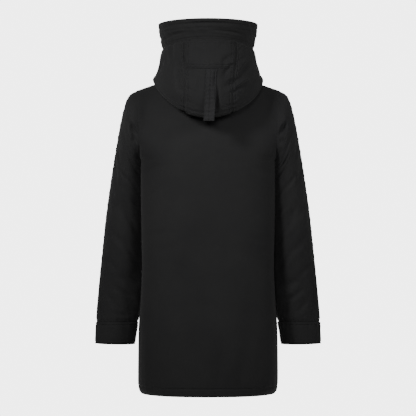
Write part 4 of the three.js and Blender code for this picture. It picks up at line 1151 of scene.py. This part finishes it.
# %% [markdown]
# ## Hood
# The hood has two sides and a centre gusset, thrown back so that it hangs in a deep fold
# behind the neck and then stands up. A wide band round the face opening is the rim. The
# panels share one surface, so they meet exactly, and only their edges are drawn in.

# %% Hood panels
HOOD_STEP = 4.2
HOOD_RISE, CENTRE_ROUND, SIDE_ROUND = 400, 150, 330
HOOD_STITCHES, HOOD_TOP_STITCH = (3, 9), 4


def hood_seam(along, side):
    """Turn of the seam between the gusset and one side"""
    return column(GUSSET_SEAMS, "at", np.clip(along, 0, BAND_AT), side)


def hood_turn_at(x, along, sign):
    """Turn at which the hood's front is x from the centre line, on the side of the sign"""
    from_front = turn_at(lambda turn, at: hood_surface(sign * (180 - turn), at), x, along)
    return sign * (180 - from_front)


hood_lines = BAND_AT * grid_lines(HOOD_RISE, HOOD_STEP)
centre_shares = grid_lines(CENTRE_ROUND, HOOD_STEP, close_at=HOOD_STITCHES)
side_shares = grid_lines(SIDE_ROUND, HOOD_STEP, close_at=HOOD_STITCHES)
hood_seams = {side: hood_seam(hood_lines, side) for side, _ in SIDES}
first_rows = [("first", d) for d in HOOD_STITCHES]
last_rows = [("last", d) for d in HOOD_STITCHES]
grid = grid_on(hood_surface, hood_seams["left"], hood_seams["right"], centre_shares, hood_lines)
hood_centre = sew_panel("hood_centre_cloth", grid, 1, cotton_nylon, stitched=first_rows + last_rows,
                        sunk=[(edge, SEAM_SINK) for edge in ("first", "last", "end")])
dress(hood_centre, "hood_centre")
for side, sign in SIDES:
    zip_edge = hood_turn_at(ZIP["cloth_edge"], hood_lines, sign)
    grid = grid_on(hood_surface, hood_seams[side], zip_edge, side_shares, hood_lines)
    hood_side = sew_panel(f"hood_{side}_cloth", grid, sign, cotton_nylon,
                          sunk=[("first", SEAM_SINK), ("end", SEAM_SINK)],
                          stitched=first_rows + [("last", ZIP_STITCH), ("end", HOOD_TOP_STITCH)])
    dress(hood_side, f"hood_{side}")

# %% Hood edge band
BAND_HEIGHT, BAND_ROUND, BAND_WALL = 72, 760, 2.4
BAND_STITCH, RIM_STITCHES = 4, (12, 26)
band_rows = [("start", BAND_STITCH)] + [("end", d) for d in RIM_STITCHES]
zip_rows = [("first", ZIP_STITCH), ("last", ZIP_STITCH)]
close_at = [BAND_STITCH] + [BAND_HEIGHT - d for d in RIM_STITCHES]
band_lines = BAND_AT + (1 - BAND_AT) * grid_lines(BAND_HEIGHT, FINE_STEP, close_at=close_at)
band_shares = grid_lines(BAND_ROUND, HOOD_STEP, close_at=(ZIP_STITCH,))
left_end, right_end = [hood_turn_at(ZIP["cloth_edge"], band_lines, sign) for _, sign in SIDES]
grid = grid_on(hood_surface, left_end, right_end, band_shares, band_lines)
hood_band = sew_panel("hood_band_cloth", grid, 1, cotton_nylon, sunk=[("start", SEAM_SINK)],
                      stitched=band_rows + zip_rows, wall=BAND_WALL)
dress(hood_band, "hood_band")

# %% Patch
PATCH_HEIGHT, PATCH_ROUND = 68, 136
PATCH_STITCHES = (2.5, 8.5)
patch_shares = grid_lines(PATCH_ROUND, HOOD_STEP, close_at=PATCH_STITCHES)
patch_up = grid_lines(PATCH_HEIGHT, HOOD_STEP, close_at=PATCH_STITCHES)
patch_lines = PATCH["low"] + (PATCH["high"] - PATCH["low"]) * patch_up
low, high = [hood_seam(patch_lines, side) for side, _ in SIDES]
inset = (high - low) * PATCH["inset"]
patch_surface = moved_out(hood_surface, 1, SEAM_GAP + PATCH["wall"])
grid = grid_on(patch_surface, low + inset, high - inset, patch_shares, patch_lines)
every_edge = ("first", "last", "start", "end")
hood_patch = sew_panel("hood_patch_cloth", grid, 1, cotton_nylon, wall=PATCH["wall"],
                       stitched=[(name, d) for name in every_edge for d in PATCH_STITCHES])
dress(hood_patch, "hood_patch")

# %% [markdown]
# ## Strap
# A narrow webbing strap is sewn under the patch and hangs free from where the hood is
# fullest. Three rows of stitches run down it. Its loose end curls a little.

# %% Strap
STRAP_CURL, STRAP_TWIST = 1.5, 6.0
STRAP_LENGTH, STRAP_WIDTH, STRAP_STEP = 145, 27, 2.5
STRAP_STITCH, STRAP_MIDDLE = 3, 13.5


def strap_surface(across, down):
    """across in millimetres, down from 0 at the patch to 1 at the free end"""
    lying = moved_out(hood_surface, 1, SEAM_GAP + STRAP["wall"])
    along = mix(STRAP["top"], STRAP["leaves"], ramp(down / STRAP["lies"]))
    middle = mix(STRAP["top_x"], STRAP["end_x"], down)
    wide = hood_surface(np.full_like(along, 90.0), along)[..., 0]
    place = lying(np.degrees(np.arcsin((middle + across) / wide)), along)
    free = ramp((down - STRAP["lies"]) / (1 - STRAP["lies"]))
    place[..., 2] = mix(place[..., 2], STRAP["end_z"], free)
    edge = across / STRAP["half_width"]
    curl = STRAP_CURL * (free * edge) ** 2
    twist = STRAP_TWIST * free * (1 + edge) / 2
    place[..., 1] += STRAP["hang_y"] * free - curl - twist
    return place


strap_lines = grid_lines(STRAP_LENGTH, FINE_STEP)
strap_shares = grid_lines(STRAP_WIDTH, STRAP_STEP, close_at=(STRAP_MIDDLE,))
half_width = np.full(len(strap_lines), STRAP["half_width"])
grid = grid_on(strap_surface, -half_width, half_width, strap_shares, strap_lines)
hood_strap = sew_panel("hood_strap_webbing", grid, -1, webbing, wall=STRAP["wall"],
                       stitched=[("first", STRAP_STITCH), ("first", STRAP_MIDDLE), ("last", STRAP_STITCH)])
dress(hood_strap, "hood_strap")

# %% [markdown]
# ## Zip
# The zip is two woven tapes behind the edges of the fronts, with a nylon coil sewn along each.
# The coil is one line bent round and round, so Geometry Nodes is the natural way to make it:
# take the line of the tape's edge, move each point round a small circle, and give it a
# thickness.

# %% Zip tapes
TAPE_DEPTH, TAPE_CLOSED, TAPE_WALL = 3.7, 0.3, 1.0
TAPE_COLUMNS = 6
ROW_SPACE = 0.002
OPENS_OVER = 0.05


def front_line(x, up):
    """The front of the garment at x: its place and the direction in which it faces. up runs
    from the hem at -1, past the neck at 1, to the rim at 2."""
    x, up = np.broadcast_arrays(np.asarray(x, float), np.asarray(up, float))
    sign, size = np.where(x < 0, -1, 1), np.abs(x)
    on_body, on_hood = np.minimum(up, 1), ramp(up - 1)
    body_turn = sign * turn_at(front_surface, size, on_body)
    hood_turn = hood_turn_at(size, on_hood, sign)
    below = (up <= 1)[..., None]
    place = np.where(below, front_surface(body_turn, on_body), hood_surface(hood_turn, on_hood))
    facing = np.where(below, outward(front_surface, -1, body_turn, on_body),
                      outward(hood_surface, 1, hood_turn, on_hood))
    return place, facing


def opened(up):
    """How far the zip is open at a place: 0 up to the slider, and 1 a little above it"""
    return ramp((up - ZIP["slider_at"]) / OPENS_OVER)


body_ups = ups[ups > ZIP["start"]]
hood_ups = 1 + hood_lines[hood_lines > 2 * ROW_SPACE]
band_ups = 1 + band_lines[band_lines > BAND_AT + ROW_SPACE]
band_ups = band_ups[band_ups < ZIP["tape_end"] - ROW_SPACE]
zip_ups = np.concatenate(([ZIP["start"]], body_ups, hood_ups, band_ups, [ZIP["tape_end"]]))
tape_in = mix(TAPE_CLOSED, ZIP["tape_in"], opened(zip_ups))
tape_out = np.full_like(tape_in, ZIP["tape_out"])
tape_shares = np.linspace(0, 1, TAPE_COLUMNS)
for side, sign in SIDES:
    place, facing = grid_on(front_line, sign * tape_in, sign * tape_out, tape_shares, zip_ups)
    tape = sew_panel(f"zip_tape_{side}_woven", place - facing * TAPE_DEPTH, -sign, zip_tape, wall=TAPE_WALL)
    dress(tape, f"zip_tape_{side}")


# %% Helpers for Geometry Nodes
def node_tree(name, *sizes):
    """An empty Geometry Nodes tree with a geometry input and named sizes"""
    tree = bpy.data.node_groups.new(name, "GeometryNodeTree")
    tree.interface.new_socket("Geometry", in_out="INPUT", socket_type="NodeSocketGeometry")
    for size in sizes:
        tree.interface.new_socket(size, in_out="INPUT", socket_type="NodeSocketFloat")
    tree.interface.new_socket("Finish", in_out="INPUT", socket_type="NodeSocketMaterial")
    tree.interface.new_socket("Geometry", in_out="OUTPUT", socket_type="NodeSocketGeometry")
    return tree, add_node(tree, "NodeGroupInput"), add_node(tree, "NodeGroupOutput")


def finish_tree(tree, start, end, geometry):
    """Every tree ends in real geometry with its finish"""
    real = add_node(tree, "GeometryNodeRealizeInstances", {"Geometry": geometry})
    painted = add_node(tree, "GeometryNodeSetMaterial",
                       {"Geometry": real.outputs["Geometry"], "Material": start.outputs["Finish"]})
    tree.links.new(painted.outputs["Geometry"], end.inputs["Geometry"])


def line_object(name, lines):
    """Lines of points, in millimetres, as one mesh of edges"""
    mesh = bpy.data.meshes.new(name)
    verts, edges = [], []
    for line in lines:
        first = len(verts)
        verts += (np.asarray(line) * MM).tolist()
        edges += [(first + i, first + i + 1) for i in range(len(line) - 1)]
    mesh.from_pydata(verts, edges, [])
    return put_in_scene(name, mesh)


def bake(obj, tree, **values):
    """Runs a tree on an object with its inputs set, and keeps the result as a plain mesh"""
    modifier = obj.modifiers.new(tree.name, "NODES")
    modifier.node_group = tree
    sockets = {s.name: s.identifier for s in tree.interface.items_tree if s.in_out == "INPUT"}
    for name, value in values.items():
        modifier[sockets[name]] = value
    ready = obj.evaluated_get(bpy.context.evaluated_depsgraph_get())
    made = bpy.data.meshes.new_from_object(ready)
    obj.modifiers.clear()
    empty, obj.data = obj.data, made
    made.name = obj.name
    bpy.data.meshes.remove(empty)
    print(obj.name, sum(len(p.vertices) - 2 for p in made.polygons), "triangles")


# %% Coil tree
COIL_CORNERS, WIRE_CORNERS = 8, 4


def coil_tree():
    """Coil on a line: each point of the line is moved round a small circle"""
    tree, start, end = node_tree("zip_coil", "Pitch", "Radius", "Wire")
    step = add_node(tree, "ShaderNodeMath",
                    {0: start.outputs["Pitch"], 1: float(COIL_CORNERS)}, operation="DIVIDE")
    line = add_node(tree, "GeometryNodeMeshToCurve", {"Mesh": start.outputs["Geometry"]})
    fine = add_node(tree, "GeometryNodeResampleCurve",
                    {"Curve": line.outputs["Curve"], "Length": step.outputs[0]}, mode="LENGTH")
    number = add_node(tree, "GeometryNodeInputIndex")
    angle = add_node(tree, "ShaderNodeMath",
                     {0: number.outputs[0], 1: 2 * np.pi / COIL_CORNERS}, operation="MULTIPLY")
    tangent = add_node(tree, "GeometryNodeInputTangent")
    side = add_node(tree, "FunctionNodeInputVector", vector=(1, 0, 0))
    out = add_node(tree, "ShaderNodeVectorMath",
                   {0: tangent.outputs[0], 1: side.outputs[0]}, operation="CROSS_PRODUCT")
    parts = []
    for direction, wave in ((side, "COSINE"), (out, "SINE")):
        share = add_node(tree, "ShaderNodeMath", {0: angle.outputs[0]}, operation=wave)
        part = add_node(tree, "ShaderNodeVectorMath",
                        {0: direction.outputs[0], "Scale": share.outputs[0]}, operation="SCALE")
        parts.append(part.outputs[0])
    both = add_node(tree, "ShaderNodeVectorMath", {0: parts[0], 1: parts[1]}, operation="ADD")
    shift = add_node(tree, "ShaderNodeVectorMath",
                     {0: both.outputs[0], "Scale": start.outputs["Radius"]}, operation="SCALE")
    wound = add_node(tree, "GeometryNodeSetPosition",
                     {"Geometry": fine.outputs["Curve"], "Offset": shift.outputs[0]})
    ring = add_node(tree, "GeometryNodeCurvePrimitiveCircle",
                    {"Resolution": WIRE_CORNERS, "Radius": start.outputs["Wire"]})
    wire = add_node(tree, "GeometryNodeCurveToMesh",
                    {"Curve": wound.outputs["Geometry"], "Profile Curve": ring.outputs["Curve"],
                     "Fill Caps": True})
    finish_tree(tree, start, end, wire.outputs["Mesh"])
    return tree


coil_nodes = coil_tree()
print(coil_nodes.name, len(coil_nodes.nodes), "nodes")

# %% Zip coils
COIL_DEPTH, COIL_RADIUS, COIL_PITCH, WIRE_RADIUS = 4.1, 1.25, 2.0, 0.34
COIL_APART, OPEN_APART = 1.3, 3.4
ROWS_ABOVE = 12
above_slider = np.linspace(ZIP["slider_at"], ZIP["tape_end"], ROWS_ABOVE)
coil_ups = np.concatenate((zip_ups[zip_ups < ZIP["slider_at"]], above_slider))
coil_x = mix(COIL_APART, OPEN_APART, opened(coil_ups))
for side, sign in SIDES:
    place, facing = front_line(sign * coil_x, coil_ups)
    coil = line_object(f"zip_coil_{side}", [place - facing * COIL_DEPTH])
    bake(coil, coil_nodes, Pitch=COIL_PITCH * MM, Radius=COIL_RADIUS * MM, Wire=WIRE_RADIUS * MM,
         Finish=nylon_coil)
    dress(coil, "zip_chain")

# %% [markdown]
# ## Slider and pull
# The slider and its pull are small die castings. Their solids have the right size and square
# edges. A merged copy with a small bevel gives the soft edges of a casting, which carry the
# only bright lights on the garment. The pull swings on the slider, so it rides on its own body.

# %% Slider and pull
SAME_PLACE = 1e-6
FLAT_ANGLE, EDGE_ANGLE = 2, 30
SLIDER_EDGE, PULL_EDGE = 0.35, 0.3


def rounded_copy(node, name, edge):
    """A copy of a node's solid with rounded edges"""
    body = bmesh.new()
    body.from_mesh(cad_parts[node].data)
    bmesh.ops.remove_doubles(body, verts=body.verts, dist=SAME_PLACE)
    bmesh.ops.dissolve_limit(body, angle_limit=np.radians(FLAT_ANGLE), verts=body.verts, edges=body.edges)
    mesh = bpy.data.meshes.new(name)
    body.to_mesh(mesh)
    body.free()
    finish_mesh(mesh, black_zinc)
    piece = put_in_scene(name, mesh)
    bevel = piece.modifiers.new("casting_edges", "BEVEL")
    bevel.width = edge * MM
    bevel.segments = 3
    bevel.limit_method = "ANGLE"
    bevel.angle_limit = np.radians(EDGE_ANGLE)
    smooth = piece.modifiers.new("flat_faces", "WEIGHTED_NORMAL")
    smooth.keep_sharp = True
    return piece


slider = rounded_copy("zip_slider", "zip_slider_casting", SLIDER_EDGE)
dress(slider, "zip_slider")
pull = rounded_copy("zip_pull", "zip_pull_casting", PULL_EDGE)
dress(pull, "zip_pull", body="pull")
print("slider and pull", len(slider.data.polygons), len(pull.data.polygons), "flat faces")

# %% [markdown]
# ## Stitches
# Sewing is the same small thread, over and over, along every seam. One tree lays them: it
# takes the seam's line, puts a point every few millimetres, and sets a thread at each point
# along the line. The lines are worked out from the panels' own surfaces, a hair above them.

# %% Stitch tree
def stitch_tree():
    """Threads on a line: each is a bead, stretched to its length and thickness"""
    tree, start, end = node_tree("stitches", "Spacing", "Length", "Thickness")
    line = add_node(tree, "GeometryNodeMeshToCurve", {"Mesh": start.outputs["Geometry"]})
    spots = add_node(tree, "GeometryNodeCurveToPoints",
                     {"Curve": line.outputs["Curve"], "Length": start.outputs["Spacing"]}, mode="LENGTH")
    turned = add_node(tree, "FunctionNodeAlignRotationToVector",
                      {"Vector": spots.outputs["Tangent"]}, axis="X")
    bead = add_node(tree, "GeometryNodeMeshIcoSphere", {"Radius": 0.5, "Subdivisions": 1})
    size = add_node(tree, "ShaderNodeCombineXYZ",
                    {"X": start.outputs["Length"], "Y": start.outputs["Thickness"],
                     "Z": start.outputs["Thickness"]})
    thread = add_node(tree, "GeometryNodeTransform",
                      {"Geometry": bead.outputs["Mesh"], "Scale": size.outputs[0]})
    laid = add_node(tree, "GeometryNodeInstanceOnPoints",
                    {"Points": spots.outputs["Points"], "Instance": thread.outputs["Geometry"],
                     "Rotation": turned.outputs["Rotation"]})
    finish_tree(tree, start, end, laid.outputs["Instances"])
    return tree


stitch_nodes = stitch_tree()
print(stitch_nodes.name, len(stitch_nodes.nodes), "nodes")

# %% Rows of stitches
# A real stitch is 0.4 mm thick and would not show, so the thread is drawn at 0.6 mm
STITCH_SPACING, STITCH_LENGTH, THREAD = 3.2, 2.4, 0.6
SEWN = {
    "stitches_body": ("back", "front_left", "front_right"),
    "stitches_sleeves": ("sleeve_back_left", "sleeve_front_left", "sleeve_back_right", "sleeve_front_right",
                         "cuff_left", "cuff_right"),
    "stitches_hood": ("hood_centre", "hood_left", "hood_right", "hood_band", "hood_patch"),
}


def lay_stitches(name, panels):
    """All the threads on some panels, as one piece"""
    row = line_object(name, [line for panel in panels for line in SEWN_ROWS[panel]])
    bake(row, stitch_nodes, Spacing=STITCH_SPACING * MM, Length=STITCH_LENGTH * MM, Thickness=THREAD * MM,
         Finish=thread_finish)
    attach(row, GARMENT)


for name, nodes in SEWN.items():
    lay_stitches(name, [f"{node}_cloth" for node in nodes])
lay_stitches("stitches_strap", ["hood_strap_webbing"])
